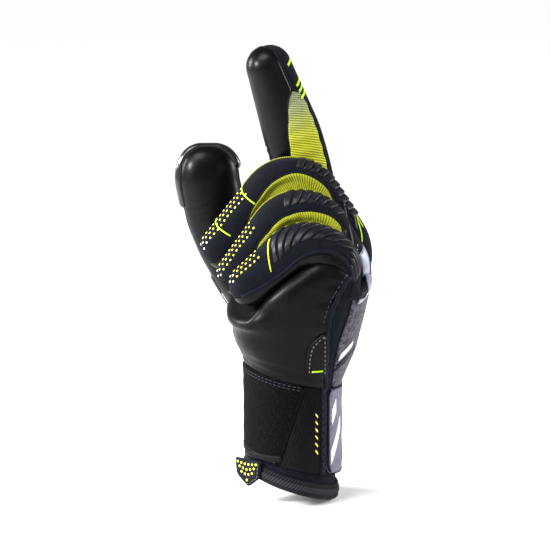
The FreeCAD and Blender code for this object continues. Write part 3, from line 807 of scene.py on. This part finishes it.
def make_finger(name):
    """The back panels, latex, side gussets and lining of one finger, each as a base and a tip piece."""
    finger = FINGERS[name]
    back, palm = EDGE[name]
    outer_side = name == "little"
    near_back, near_palm = (PIPING_PHI, PIPING_PHI) if outer_side else (back, palm)
    gusset_end = {"index": 92, "middle": 103, "ring": 98, "little": 77}[name]
    for part, start, end, zone in finger_zones(finger):
        base = part == "base"
        lap, ends, flex = (3, 0, "knuckle") if base else (0, 3, "bend")
        lift = -0.25 if base else 0.0
        dorsal = panel(f"{name}_{part}_back_panel", finger, (start, end + lap), (lambda s: -back(s),
                                                                                 near_back), "navy",
                       thick=1.3, roll=1.6, puff=0.25, step=2.0, rolled=(ends, True), lift=lift)
        place(dorsal, zone, "navy_back", f"{name}_{part}_back", fill=0.5)
        bunch = None if base else wrinkles(5.2, 0.3, finger.bend, finger.tip)
        pad = panel(f"{name}_{part}_latex_panel", finger, (start, end + lap),
                    (near_palm, lambda s: 360 - palm(s)), "finger_latex", thick=1.5, roll=2.2, puff=0.5,
                    step=2.0, rolled=(ends, True), detail=bunch, lift=lift)
        place(pad, zone, "black_latex", f"{name}_{part}_latex", f"{name}_{flex}_flex", fill=0.6)
        for side, low, high in (("near", back, palm), ("far", lambda s: -palm(s), lambda s: -back(s))):
            if outer_side and side == "near":
                continue
            reach = (start, min(end, gusset_end) + lap)
            cloth = "lime_faded" if name == "index" and not base else "lime"
            gusset = panel(f"{name}_{part}_gusset_{side}", finger, reach, (low, high), cloth, thick=1.0,
                           roll=1.6, step=1.3, rolled=(min(ends, 1), True),
                           detail=fold_of(name if side == "near" else ""), lift=lift)
            place(gusset, zone, "lime_knit", f"{name}_{part}_gussets")
        liner = sleeve(f"{name}_{part}_liner", finger, (start, end - 1), "lining", thick=0.3, lift=-1.2)
        place(liner, zone, "flex_fabric")


def make_ribs(name, start, end, count, reach, slant, thick):
    """Moulded ribs across a finger's back, evenly spaced along it, as a base piece and a tip piece."""
    finger = FINGERS[name]
    at = np.linspace(start, end, 200)
    line = finger(at, np.zeros(200))
    run = np.concatenate([[0], np.cumsum(np.linalg.norm(np.diff(line, axis=0), axis=-1))])
    marks = np.interp(np.linspace(0, run[-1], count + 1), run, at)
    groups = ([], [])
    for low, high in zip(marks[:-1], marks[1:]):
        cell = ((low, low + (high - low) * 0.93), (lambda s: -reach(s), reach))
        groups[0 if high < finger.split else 1].append(cell)
    skewed = lambda s, phi: finger(s + slant * np.abs(phi) / 60.0, phi)
    blade = lambda s, phi, run_s, run_t: 0.9 * (1 - run_s / run_s[-1:]) - 0.25
    for (part, _, _, zone), cells in zip(finger_zones(finger), groups):
        if cells:
            ribs = panels(f"{name}_{part}_ribs", skewed, cells, "rubber", thick=thick,
                          lift=0.7, roll=1.1, step=1.8, skin=1.2, detail=blade)
            place(ribs, zone, "embossed_rubber")


def make_finger_prints(name, rows, first, pitch, count, lines):
    """Rows of grip dots along a fingertip's near side, and thin lime lines across the finger."""
    finger = FINGERS[name]
    zone = finger_zones(finger)[1][3]
    spots, pale = [], []
    for row, phi in enumerate(rows):
        for k in range(count):
            s = first + k * pitch + (pitch / 2 if row % 2 else 0)
            if s < finger.end - 3.5:
                (pale if s > finger.end - 9 else spots).append((s, phi + 1.5 * math.sin(k)))
    for label, picked, mat in (("grip_dots", spots, "grip"), ("pale_dots", pale, "pale_grip")):
        s, phi = np.array(picked).T
        points, normals = path_on(finger, s, phi, 1.45)
        tangent = unit(finger(s + 0.5, phi) - finger(s - 0.5, phi))
        made = domes(f"{name}_{label}", points, normals, tangent, mat, radius=0.62, height=0.45, oval=1.25)
        place(made, zone, "yellow_dots")
    for number, (first_spot, last_spot) in enumerate(lines):
        path = line_on(finger, first_spot, last_spot, 1.6, count=24, bow=2)
        made = piping(f"{name}_lime_line_{number}", path, "green", radius=0.5, flat=0.35, step=1.0)
        place(made, zone, "lime_knit")


for name in FINGERS:
    make_finger(name)

make_ribs("middle", 20, 60, 10, table([20, 34, 44, 56, 62], [40, 44, 40, 46, 42]), 1.2, 1.5)
make_ribs("ring", 38, 60, 7, table([38, 46, 56, 64], [38, 48, 60, 56]), 2.5, 1.2)
make_ribs("little", 24, 58, 8, table([24, 32, 44, 54, 64], [44, 56, 76, 84, 80]), 7.5, 1.1)
make_ribs("index", 2, 36, 7, table([0, 20, 40], [18, 16, 12]), 0.5, 0.8)

MIDDLE_LINES = (((84, -14), (87.5, 82)), ((111, -14), (112.5, 86)))
make_finger_prints("middle", (10, 27, 44), 87, 3.5, 13, MIDDLE_LINES)
make_finger_prints("ring", (8, 25, 42), 80, 3.5, 12, ())
make_finger_prints("little", (6, 24, 42), 73, 3.5, 8, ())


def make_finger_lines():
    """Thin bright edges along the fingers' backs and the printed lines over the knuckles."""
    for name, start, end, phi in (("middle", 56, 86, -16), ("ring", 42, 80, -18), ("little", 34, 60, -18)):
        finger = FINGERS[name]
        cord = piping(f"{name}_back_edge", line_on(finger, (start, phi), (end, phi), 1.5), "lime",
                      radius=0.75)
        place(cord, finger_zones(finger)[1][3], "lime_knit")
    lines = [  # finger, its (s, phi) at both ends, width in mm, material
        ("middle", (31, 8), (13, 22), 0.45, "green"), ("middle", (25, 8), (8, 50), 0.45, "green"),
        ("ring", (28, 25), (17, 66), 0.3, "silver"), ("ring", (23, 14), (13, 60), 0.3, "silver"),
        ("ring", (32, 42), (22, 80), 1.2, "rubber"), ("ring", (34, 18), (20, 50), 1.2, "rubber"),
        ("middle", (34, 30), (20, 66), 1.2, "rubber"), ("middle", (27, 14), (14, 50), 1.2, "rubber"),
    ]
    lines += [("little", (31 - 2 * k, 6 + 13 * k), (19 - 1.8 * k, 4 + 12 * k), 1.5, "rubber")
              for k in range(5)]
    for number, (name, first, last, radius, key) in enumerate(lines):
        finger = FINGERS[name]
        path = line_on(finger, first, last, 1.35, count=30)
        line = piping(f"knuckle_line_{number}", path, key, radius=radius, flat=0.45, step=1.0)
        slot = {"green": "lime_knit", "silver": "silver_print"}.get(key, "embossed_rubber")
        place(line, finger_zones(finger)[0 if first[0] < finger.split else 1][3], slot)
    bars = [((top, -8), (top - 4, 36), (top - 5.6, 36), (top - 1.6, -8)) for top in (113, 99, 95, 91)]
    prints = (  # piece, finger, part, patches, material, lift, slot
        ("ring_flash_print", "ring", 0, [((17, -12), (-7, -12), (-7, 50), (14, 46))], "silver", 1.5,
         "silver_print"),
        ("little_streak", "little", 1, [((60.6, 14), (72, 92), (72.8, 92), (61.8, 14))], "lime_edge", 1.45,
         "lime_knit"),
        ("index_back_stripes", "index", 1, bars, "green", 1.4, "lime_knit"),
    )
    for piece, name, part, patches, key, lift, slot in prints:
        finger = FINGERS[name]
        place(decals(piece, finger, patches, key, lift=lift), finger_zones(finger)[part][3], slot)


make_finger_lines()


def make_edges():
    """Piping along the seams between the panels of each finger."""
    for name, finger in FINGERS.items():
        back = EDGE[name][0]
        for part, start, end, zone in finger_zones(finger):
            start, stop = max(start, -18), min(end, finger.end - 4)
            if (name, part) == ("little", "tip"):
                start = 15
            for side, sign in (("near", 1), ("far", -1)):
                if name == "little" and side == "near":
                    continue
                s = np.linspace(start, stop, 90)
                cord = piping(f"{name}_{part}_edge_{side}", path_on(finger, s, sign * back(s), 0.75),
                              "binding", radius=0.75, step=1.0)
                place(cord, zone, "navy_binding")
    finger = FINGERS["little"]
    s = np.linspace(15, finger.end - 4, 90)
    cord = piping("little_piping", path_on(finger, s, PIPING_PHI(s), 1.3), "binding", radius=1.25, step=1.0)
    place(cord, finger_zones(finger)[1][3], "navy_binding")


make_edges()


# ---------------------------------------------------------------- hand

def hand_detail(s, phi, _, run_t):
    """Creases of the palm: pulled lines above the wrist, dents by the seam, a ledge under the fingertips."""
    pulled = np.sin((s - 0.09 * (phi - 90)) * 0.9) * 0.3 * (1 - smooth(74, 88, s))
    pulled = pulled + 0.5 * np.sin(s * 1.9 + 0.06 * phi) * smooth(150, 170, phi) * (1 - smooth(75, 84, s))
    ledge = 1.5 * np.exp(-((s - 105 - 0.02 * (phi - 120)) / 4.0) ** 2)
    ledge = ledge * smooth(95, 130, phi) * (1 - smooth(215, 250, phi))
    dip = -1.4 * np.exp(-((s - 97 - 0.05 * (phi - 120)) / 4.5) ** 2)
    dip = dip * smooth(90, 125, phi) * (1 - smooth(200, 240, phi))
    near = 1 - smooth(0, 16, run_t)
    dents = np.sin(s * 0.55 + 1.0) * 0.7 * near * smooth(76, 90, s) * (1 - smooth(128, 138, s))
    soft = 0.55 * np.sin(s * 0.16 + 0.6) * np.sin(np.radians(phi) * 3.1 + 0.4)
    return pulled + ledge + dip + dents + soft


def make_hand():
    """The palm, the back mesh with its side strips and piping, the lining and the knuckle pad."""
    palm = panel("palm_latex_panel", hand, (66, 176), (seam_phi, lambda s: 360 - seam_phi(s)), "latex",
                 thick=1.8, roll=2.6, puff=0.4, step=1.7, rolled=(0, True), detail=hand_detail)
    place(palm, "hand", "black_latex", "palm_latex", "palm_fold", fill=0.6)
    strip_in = lambda s: hand_phi(table([66, 80, 94, 112, 124, 134], [26.5, 28.5, 31.6, 37.4, 39.8, 42.5],
                                        4)(s), s)
    mesh = panel("back_mesh_panel", hand, (62, 126), (lambda s: -strip_in(s), strip_in), "mesh", thick=1.4,
                 lift=0.4, roll=1.6, puff=1.0, step=2.2)
    place(mesh, "hand", "navy_back", "back_panel", fill=0.5)
    for side, sign in (("near", 1), ("far", -1)):
        edges = (strip_in, seam_phi) if sign > 0 else (lambda s: -seam_phi(s), lambda s: -strip_in(s))
        strip = panel(f"back_side_panel_{side}", hand, (62, 150), edges, "strip", thick=1.4, roll=1.6,
                      puff=0.3, step=1.8, rolled=(0, True))
        place(strip, "hand", "navy_back", fill=0.4)
        s = np.linspace(64, 146 if sign > 0 else 140, 120)
        cord = piping(f"side_seam_piping_{side}", path_on(hand, s, sign * seam_phi(s), 1.5), "binding",
                      radius=1.5, flat=0.8, wave=lambda at: 0.35 * np.sin(at * 0.75))
        place(cord, "hand", "navy_binding", *(("side_seam_binding",) if sign > 0 else ()))
        s = np.linspace(66, 126, 90)
        cord = piping(f"mesh_edge_piping_{side}", path_on(hand, s, sign * strip_in(s), 1.3), "binding",
                      radius=0.7)
        place(cord, "hand", "navy_binding")
    lining = sleeve("hand_lining_cloth", hand, (60, 165), "lining", thick=0.6, lift=-2.2, step=4)
    place(lining, "hand", "lining_cloth", "hand_lining")

    pad = panel("knuckle_pad", hand, (121, 150), (-62, 62), "navy",
                thick=1.5, lift=0.9, roll=2.5, puff=0.5, step=2.2)
    place(pad, "hand", "embossed_rubber", fill=0.6)
    cells = []
    for k in range(-9, 10):
        middle = k * 5.2
        lean = 0.16 * np.sign(k)
        low = lambda s, m=middle, g=lean: m - 2.2 - g * (s - 125)
        high = lambda s, m=middle, g=lean: m + 2.2 - g * (s - 125)
        cells.append(((124 + 0.1 * abs(middle), 144), (low, high)))
    ridges = panels("knuckle_pad_ridges", hand, cells, "rubber", thick=0.9, lift=2.1, roll=1.4, step=2.5,
                    skin=1.6)
    place(ridges, "hand", "embossed_rubber", "punch_pad")


def hand_spot(x, z):
    """The (s, phi) of a point on the near side of the hand."""
    return (z, float(hand_phi(x, z)))


def make_hand_prints():
    """The flash under the knuckles, the stripes and lines by the mesh, and the stripe on the palm."""
    flash = decals("back_flash_print", hand, [
        ((148, 10), (131, 10), (120, 46), (126.5, 45)),
        ((148, -10), (131, -10), (120, -46), (126.5, -45)),
    ], "silver", lift=3.3, thick=0.35, count=(10, 26))
    place(flash, "hand", "silver_print", "back_flash")
    upper, lower = hand_spot(43.6, 97), hand_spot(30.8, 83)
    ends = [hand_spot(45.5, 112), hand_spot(44.0, 105)]
    shapes = [(upper, lower, (lower[0] + 3.6, lower[1]), (upper[0] + 3.0, upper[1] - 4)),
              (ends[0], ends[1], (ends[1][0], ends[1][1] - 6), (ends[0][0], ends[0][1] - 6))]
    shapes += [tuple((at, -phi) for at, phi in shape) for shape in shapes]
    stripes = decals("back_stripe_prints", hand, shapes, "white", lift=2.2, thick=0.3, count=(26, 6))
    place(stripes, "hand", "silver_print")
    a, b = hand_spot(15.4, 77.8), hand_spot(21.4, 78.6)
    stripe = [(a, b, (b[0] - 0.8, b[1]), (a[0] - 0.8, a[1]))]
    place(decals("palm_green_stripe", hand, stripe, "green", lift=3.3), "hand", "lime_knit")
    for number, (down, key) in enumerate(((3.4, "binding"), (6.0, "hem_light"))):
        path = line_on(hand, (lower[0] - down, lower[1]), (upper[0] - down, upper[1]), 2.3, count=30)
        line = piping(f"back_line_{number}", path, key, radius=0.8, flat=0.5)
        place(line, "hand", "silver_print")


make_hand()
make_hand_prints()


def make_seam_tab():
    """The stitched latex overlay beside the side seam, with its thread."""
    left = lambda s: hand_phi(table([70, 84, 92, 96, 100, 104], [11.8, 11.8, 13.2, 17, 21.5, 23])(s), s)
    tab = panel("seam_overlay", hand, (74.5, 101), (seam_phi, left), "latex", thick=1.2, lift=1.9, roll=0.8,
                step=1.4, rolled=(2, True), skin=1.4)
    place(tab, "hand", "black_latex")
    s = np.linspace(76, 99.5, 80)
    rows = [path_on(hand, s, left(s) - 3.4, 3.2), path_on(hand, s, seam_phi(s) + 3.0, 3.2)]
    place(stitches("seam_overlay_stitches", rows, "grey_thread", length=1.7, gap=1.1, radius=0.26), "hand",
          "black_latex")
    s = np.linspace(70, 140, 160)
    rows = [path_on(hand, s, seam_phi(s) + 5.2, 2.1)]
    place(stitches("palm_edge_stitches", rows, "thread", length=2.0, gap=1.2, radius=0.28), "hand",
          "black_latex")


make_seam_tab()


# ---------------------------------------------------------------- thumb

def make_thumb():
    """The latex face, knitted back, rim, ribs and print of the thumb."""
    at = lambda s: (thumb(s, 0.0) + thumb(s, 180.0)) / 2
    zones = (("base", -4, 52, ("hand", "thumb_base", at(8), at(40))),
             ("tip", 52, THUMB_END - 0.004, ("thumb_base", "thumb_tip", at(56), at(92))))
    face = table([-10, 20, 60, 100, 140], [4, 4, 6, 12, 12], 6)
    creases = wrinkles(4.2, 0.32, 72, 100)
    for part, start, end, zone in zones:
        lap, ends, lift, flex = (3, 0, -0.25, "root") if part == "base" else (0, 3, 0.0, "bend")
        front = panel(f"thumb_{part}_latex_panel", thumb, (start, end + lap), (face, lambda s: 180 - face(s)),
                      "finger_latex", thick=1.6, roll=2.4, puff=0.5, step=1.8, rolled=(ends, True),
                      detail=creases, lift=lift)
        place(front, zone, "black_latex", f"thumb_{part}_latex", f"thumb_{flex}_flex", fill=0.6)
        rear = panel(f"thumb_{part}_back_panel", thumb, (start, end + lap), (lambda s: 180 - face(s),
                                                                             lambda s: 360 + face(s)),
                     "navy", thick=1.4, roll=2.0, puff=0.4, step=2.2, rolled=(ends, True), lift=lift)
        place(rear, zone, "navy_back", f"thumb_{part}_back", fill=0.5)
        liner = sleeve(f"thumb_{part}_liner", thumb, (start, end - 1), "lining", thick=0.3, lift=-1.3)
        place(liner, zone, "flex_fabric")
    tip_zone, base_zone = zones[1][3], zones[0][3]
    around = np.concatenate([np.linspace(94, THUMB_END - 0.6, 90), np.linspace(THUMB_END - 0.6, 114, 90)])
    phis = np.concatenate([180 - face(around[:90]), face(around[90:])])
    path = path_on(thumb, around, phis, 1.4)
    rim = piping("thumb_rim", path, "rim", radius=3.1, flat=0.9, step=1.0)
    place(rim, tip_zone, "rim_latex", "thumb_tip_binding")
    s = np.linspace(2, 54, 50)
    for label, phi in (("near", 180 - face(s)), ("far", face(s))):
        place(piping(f"thumb_base_rim_{label}", path_on(thumb, s, phi, 1.3), "rim", radius=1.5), base_zone,
              "rim_latex")
    cells = [((74 + 6 * k, 78.6 + 6 * k), (225, 315)) for k in range(6)]
    ribs = panels("thumb_tip_ribs", thumb, cells, "rubber", thick=1.5, lift=1.0, roll=1.5, step=2.4, skin=1.2)
    place(ribs, tip_zone, "embossed_rubber")
    print_side = decals("thumb_side_print", thumb, [((92, 191), (118, 191), (121, 202), (96, 204))], "silver",
                        lift=1.9, thick=0.3, count=(20, 6))
    place(print_side, tip_zone, "silver_print")


make_thumb()


# ---------------------------------------------------------------- wrist

BACK_NEAR, BACK_FAR = 50.0, 310.0


def rib_edge(s):
    """Where the heather part of the bandage ends and the finely ribbed elastic starts."""
    return 106.5 - 32 * (np.asarray(s, float) + BAND_HALF) / (2 * BAND_HALF)


def make_wrist():
    """The cuff with its hem, and the wrist bandage with its ribbed part, tapes, stitches and prints."""
    inner = sleeve("cuff_sleeve_knit", cuff, (0.6, 82), "sleeve", thick=0.9)
    place(inner, "hand", "navy_knit", "cuff_sleeve")
    lining = sleeve("cuff_lining", cuff, (1.0, 80), "lining", thick=0.5, lift=-2.2, step=3.5)
    place(lining, "hand", "lining_cloth")
    for number, (low, lift, key) in enumerate(((-1.2, 1.9, "hem"), (1.6, 2.5, "hem_light"),
                                               (4.4, 1.7, "hem"))):
        tape = sleeve(f"cuff_hem_band_{number}", cuff, (low, low + 3.6), key, thick=0.9, lift=lift, step=0.9,
                      roll=1.2)
        place(tape, "hand", "grey_hem", *(("cuff_hem",) if number == 0 else ()))
    weave = lambda s, phi, *_: (0.12 * np.sin(s * 0.5 + phi * 0.05)
                                + 0.35 * np.exp(-((s + 3 - 0.1 * phi) / 2.0) ** 2))
    front = panel("wrist_bandage_band", band, (-BAND_HALF, BAND_HALF), (rib_edge, BACK_FAR), "heather",
                  thick=1.6, lift=1.6, roll=1.3, puff=0.25, step=2.0, detail=weave)
    place(front, "hand", "heather_elastic", "wrist_bandage", fill=0.3)
    ridges = lambda s, phi, *_: 0.55 * np.sin(2 * math.pi * (rib_edge(s) - phi) * 0.55 / 1.75)
    ribbed = panel("ribbed_elastic_band", band, (-BAND_HALF + 0.4, BAND_HALF - 0.4),
                   (BACK_NEAR + 3, rib_edge), "elastic", thick=1.3, lift=1.6, roll=1.0, step=0.5,
                   detail=ridges)
    place(ribbed, "hand", "rib_elastic", "ribbed_elastic")
    s = np.linspace(-BAND_HALF + 1, BAND_HALF - 1, 120)
    seam = piping("bandage_seam", path_on(band, s, rib_edge(s), 3.1), "heather", radius=0.9, flat=0.6)
    place(seam, "hand", "heather_elastic")
    edge = panel("bandage_binding_tape", band, (-BAND_HALF - 0.6, BAND_HALF + 0.6), (BACK_NEAR - 5, BACK_NEAR
                                                                                     + 4.4), "binding",
                 thick=1.5, lift=2.4, roll=1.3, step=1.2, detail=lambda s, *_: 0.3 * np.sin(s * 0.8))
    place(edge, "hand", "navy_binding", "bandage_binding")
    far = panel("flap_anchor_tape", band, (-BAND_HALF - 0.4, BAND_HALF + 0.4), (BACK_FAR - 4, BACK_FAR + 5),
                "binding", thick=1.4, lift=2.4, roll=1.3, step=1.2)
    place(far, "hand", "navy_binding", "flap_anchor")
    inset = (BAND_HALF - 2.0, BAND_HALF - 3.8)
    rows = [path_on(band, at, np.linspace(rib_edge(at) + 3, BACK_FAR - 6, 200), 3.35)
            for at in (-inset[0], -inset[1], *inset)]
    place(stitches("bandage_stitches", rows, "thread", length=2.0, gap=1.0, radius=0.28), "hand",
          "heather_elastic")
    s = np.linspace(-BAND_HALF + 2, BAND_HALF - 2, 300)
    zigzag = path_on(band, s, BACK_NEAR + 2.0 * np.sign(np.sin(s * 1.4)), 4.1)
    place(stitches("binding_stitches", [zigzag], "thread", length=1.5, gap=0.7, radius=0.25, slant=0.5),
          "hand", "navy_binding")
    near, far = BACK_NEAR + 8, BACK_NEAR + 11
    marks = [((s, near), (s + 1.7, far), (s + 2.9, far), (s + 1.2, near)) for s in -15 + 4.6 * np.arange(6)]
    place(decals("elastic_dashes", band, marks, "grip", lift=3.1, thick=0.3, count=(5, 5)), "hand",
          "yellow_dots")
    label = panel("cuff_fold_tape", band, (BAND_HALF - 1, BAND_HALF + 3.6), (58, 74), "hem_light", thick=0.8,
                  lift=1.4, roll=0.8, step=1.0)
    place(label, "hand", "navy_knit")
    green = panel("cuff_green_stripe", band, (BAND_HALF + 0.4, BAND_HALF + 1.7), (60, 73), "lime_edge",
                  thick=0.5, lift=2.2, roll=0.5, step=1.0)
    place(green, "hand", "lime_knit")


def make_closure():
    """The hook-and-loop flap on the back of the wrist."""
    half = BAND_HALF - 0.5
    edge = lambda s: 44 - 7 * np.clip((np.abs(s) - half + 7) / 7, 0, 1) ** 2.5
    loop = panel("loop_patch_velour", band, (-half + 3, half - 3), (-41, 41), "velour", thick=0.9, lift=0.9,
                 roll=0.7, step=3)
    place(loop, "hand", "lilac_velour", "loop_patch")
    hook = panel("hook_patch_strip", band, (-half + 4, half - 4), (-39, 39), "hooks", thick=0.8, lift=2.3,
                 roll=0.6, step=3)
    place(hook, "closure", "hook_strip", "hook_patch")
    flap = panel("closure_flap_velour", band, (-half, half), (lambda s: -edge(s), edge), "velour", thick=1.7,
                 lift=3.2, roll=1.2, puff=0.2, step=2.0,
                 detail=lambda s, phi, *_: 0.2 * np.sin(s * 0.3 + phi * 0.08))
    place(flap, "closure", "lilac_velour", "closure_flap", fill=0.3)
    s = np.linspace(-half + 0.6, half - 0.6, 80)
    border = [path_on(band, s, sign * (edge(s) - 0.4), 4.3) for sign in (1, -1)]
    turn = edge(half - 0.4) - 0.5
    border += [line_on(band, (at, -turn), (at, turn), 4.3) for at in (-half + 0.4, half - 0.4)]
    for number, path in enumerate(border):
        place(piping(f"flap_edge_{number}", path, "binding", radius=1.0, flat=0.8), "closure", "navy_binding")
    rows = [path_on(band, s, edge(s) - 4.5, 5.0), path_on(band, s, 4.5 - edge(s), 5.0)]
    place(stitches("flap_stitches", rows, "grey_thread", length=2.0, gap=1.2, radius=0.28), "closure",
          "lilac_velour")
    bars = [((-21, sign * 40), (0, sign * 20), (8, sign * 20), (-12, sign * 40)) for sign in (1, -1)]
    bars += [((4, sign * 39), (12, sign * 31), (20, sign * 31), (13, sign * 39)) for sign in (1, -1)]
    place(decals("flap_bars", band, bars, "white", lift=5.0, thick=0.35, count=(22, 12)), "closure",
          "white_print", "flap_badge")


def make_tab():
    """The pull tab: a pentagon of webbing with a stitched border and rows of raised dots."""
    slope = math.sqrt(0.5)
    out, flat, up = np.array([-slope, -slope, 0]), np.array([slope, -slope, 0]), np.array([0, 0, 1.0])
    low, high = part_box("pull_tab")
    top = np.array([(low[0] + high[0]) / 2, (low[1] + high[1]) / 2, high[2]]) / MM
    hinge = np.array([-22.5, -22.5, 0])
    top = top - out * np.dot(top - hinge, out) * np.array([1, 1, 0])
    half, drop, point = 11.0, 17.0, 7.0

    def surface(s, phi):
        s, phi = both(s, phi)
        x = phi * (half - s / drop)
        z = -s / drop * (drop - point * np.abs(phi) ** 1.2)
        curl = -0.25 * (x / half) ** 2 + 0.2 * np.sin(s * 0.25)
        return top + flat * x[..., None] + up * z[..., None] + out * curl[..., None]

    s, t = np.meshgrid(drop * spaced(drop, 0.9, 1.2), -1 + 2 * spaced(2 * half, 0.9, 1.2), indexing="ij")
    base = surface(s, t)
    shape = (rounded(lengths(base, 0)[0], 1.1) * rounded(lengths(base, 1)[0], 1.1))[..., None]
    shell = (base + out * (0.5 + 1.9 * shape), base + out * (0.5 - 0.5 * shape), np.stack([t * half, s], -1))
    place(make_shells("pull_tab_webbing", [shell], "webbing"), "tab", "tab_webbing", "pull_tab")
    spots = []
    for row, count in enumerate((6, 5, 4, 1)):
        spots += [((row + 0.9) * 3.3, (k - (count - 1) / 2) * 3.2 / half) for k in range(count)]
    points = surface(*np.array(spots).T) + out * 2.35
    normals = np.broadcast_to(out, points.shape)
    place(domes("tab_grip_dots", points, normals, np.broadcast_to(up, points.shape), "grip", 0.8, 0.45),
          "tab", "yellow_dots", "tab_dots")
    run = np.linspace(0, 1, 60)
    outline = np.concatenate([
        surface(1.3 + (drop - 2.6) * run, np.full_like(run, -0.88)),
        surface(np.full_like(run, drop - 1.3), -0.88 + 1.76 * run),
        surface(drop - 1.3 - (drop - 2.6) * run, np.full_like(run, 0.88)),
    ]) + out * 2.4
    place(stitches("tab_stitches", [(outline, np.broadcast_to(out, outline.shape))], "grey_thread",
                   length=1.6, gap=0.9, radius=0.24), "tab", "tab_webbing")
    block = panel("tab_anchor_tape", wrist_at(0, 0), (16.4, 21), (101, 165), "elastic", thick=1.6,
                  lift=2.4, roll=1.4, step=1.2)
    place(block, "hand", "tab_webbing", "tab_anchor")


make_wrist()
make_closure()
make_tab()


# ---------------------------------------------------------------- camera and light

def make_stage():
    """The white studio: backdrop, floor, lights and camera."""
    scene = bpy.context.scene
    scene.view_settings.view_transform = "Standard"
    world = bpy.data.worlds.new("studio")
    world.use_nodes = True
    nodes, links = world.node_tree.nodes, world.node_tree.links
    backdrop = nodes["Background"]
    backdrop.inputs[0].default_value = (1, 1, 1, 1)
    seen, strength = nodes.new("ShaderNodeLightPath"), nodes.new("ShaderNodeMapRange")
    strength.inputs[3].default_value, strength.inputs[4].default_value = 0.3, 1.0
    links.new(seen.outputs["Is Camera Ray"], strength.inputs[0])
    links.new(strength.outputs[0], backdrop.inputs[1])
    scene.world = world
    low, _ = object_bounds()
    floor_z = low[2] / MM - 1.0
    reach = 3000
    corners = [(x, y, floor_z) for x, y in ((-reach, -reach), (reach, -reach), (reach, reach),
                                            (-reach, reach))]
    floor = make_mesh("floor", corners, [(0, 1, 2, 3)], "floor")
    lights = (  # name, place in metres, size, power
        ("key", (-0.95, -0.5, 0.6), 0.22, 25),
        ("fill", (0.6, -1.1, 0.5), 0.6, 1),
        ("back_left", (-0.8, 0.3, 0.4), 0.3, 10),
        ("back_right", (0.85, 0.1, 0.4), 0.35, 10),
    )
    sun = bpy.data.lights.new("sun", "SUN")
    sun.energy, sun.angle = 3.0, math.radians(30)
    sunlight = bpy.data.objects.new("sun", sun)
    sunlight.rotation_euler = Vector((0.45, 0.5, -0.9)).to_track_quat("-Z", "Y").to_euler()
    scene.collection.objects.link(sunlight)
    for name, at, size, power in lights:
        light = bpy.data.lights.new(name, "AREA")
        light.shape, light.size, light.energy = "SQUARE", size, power
        lamp = bpy.data.objects.new(name, light)
        lamp.location = at
        aim = Vector((0, 0, 0.12)) - lamp.location
        lamp.rotation_euler = aim.to_track_quat("-Z", "Y").to_euler()
        scene.collection.objects.link(lamp)
    camera = bpy.data.cameras.new("camera")
    camera.sensor_width, distance, view_width = 36, 3.0, 0.341
    camera.lens = camera.sensor_width * distance / view_width
    camera.clip_end = 50
    eye = bpy.data.objects.new("camera", camera)
    tilt, middle_x, middle_z = math.radians(10), -0.0068, 0.1278
    eye.location = (middle_x, -distance * math.cos(tilt), middle_z + distance * math.sin(tilt))
    eye.rotation_euler = (math.pi / 2 - tilt, 0, 0)
    scene.collection.objects.link(eye)
    scene.camera = eye


make_stage()
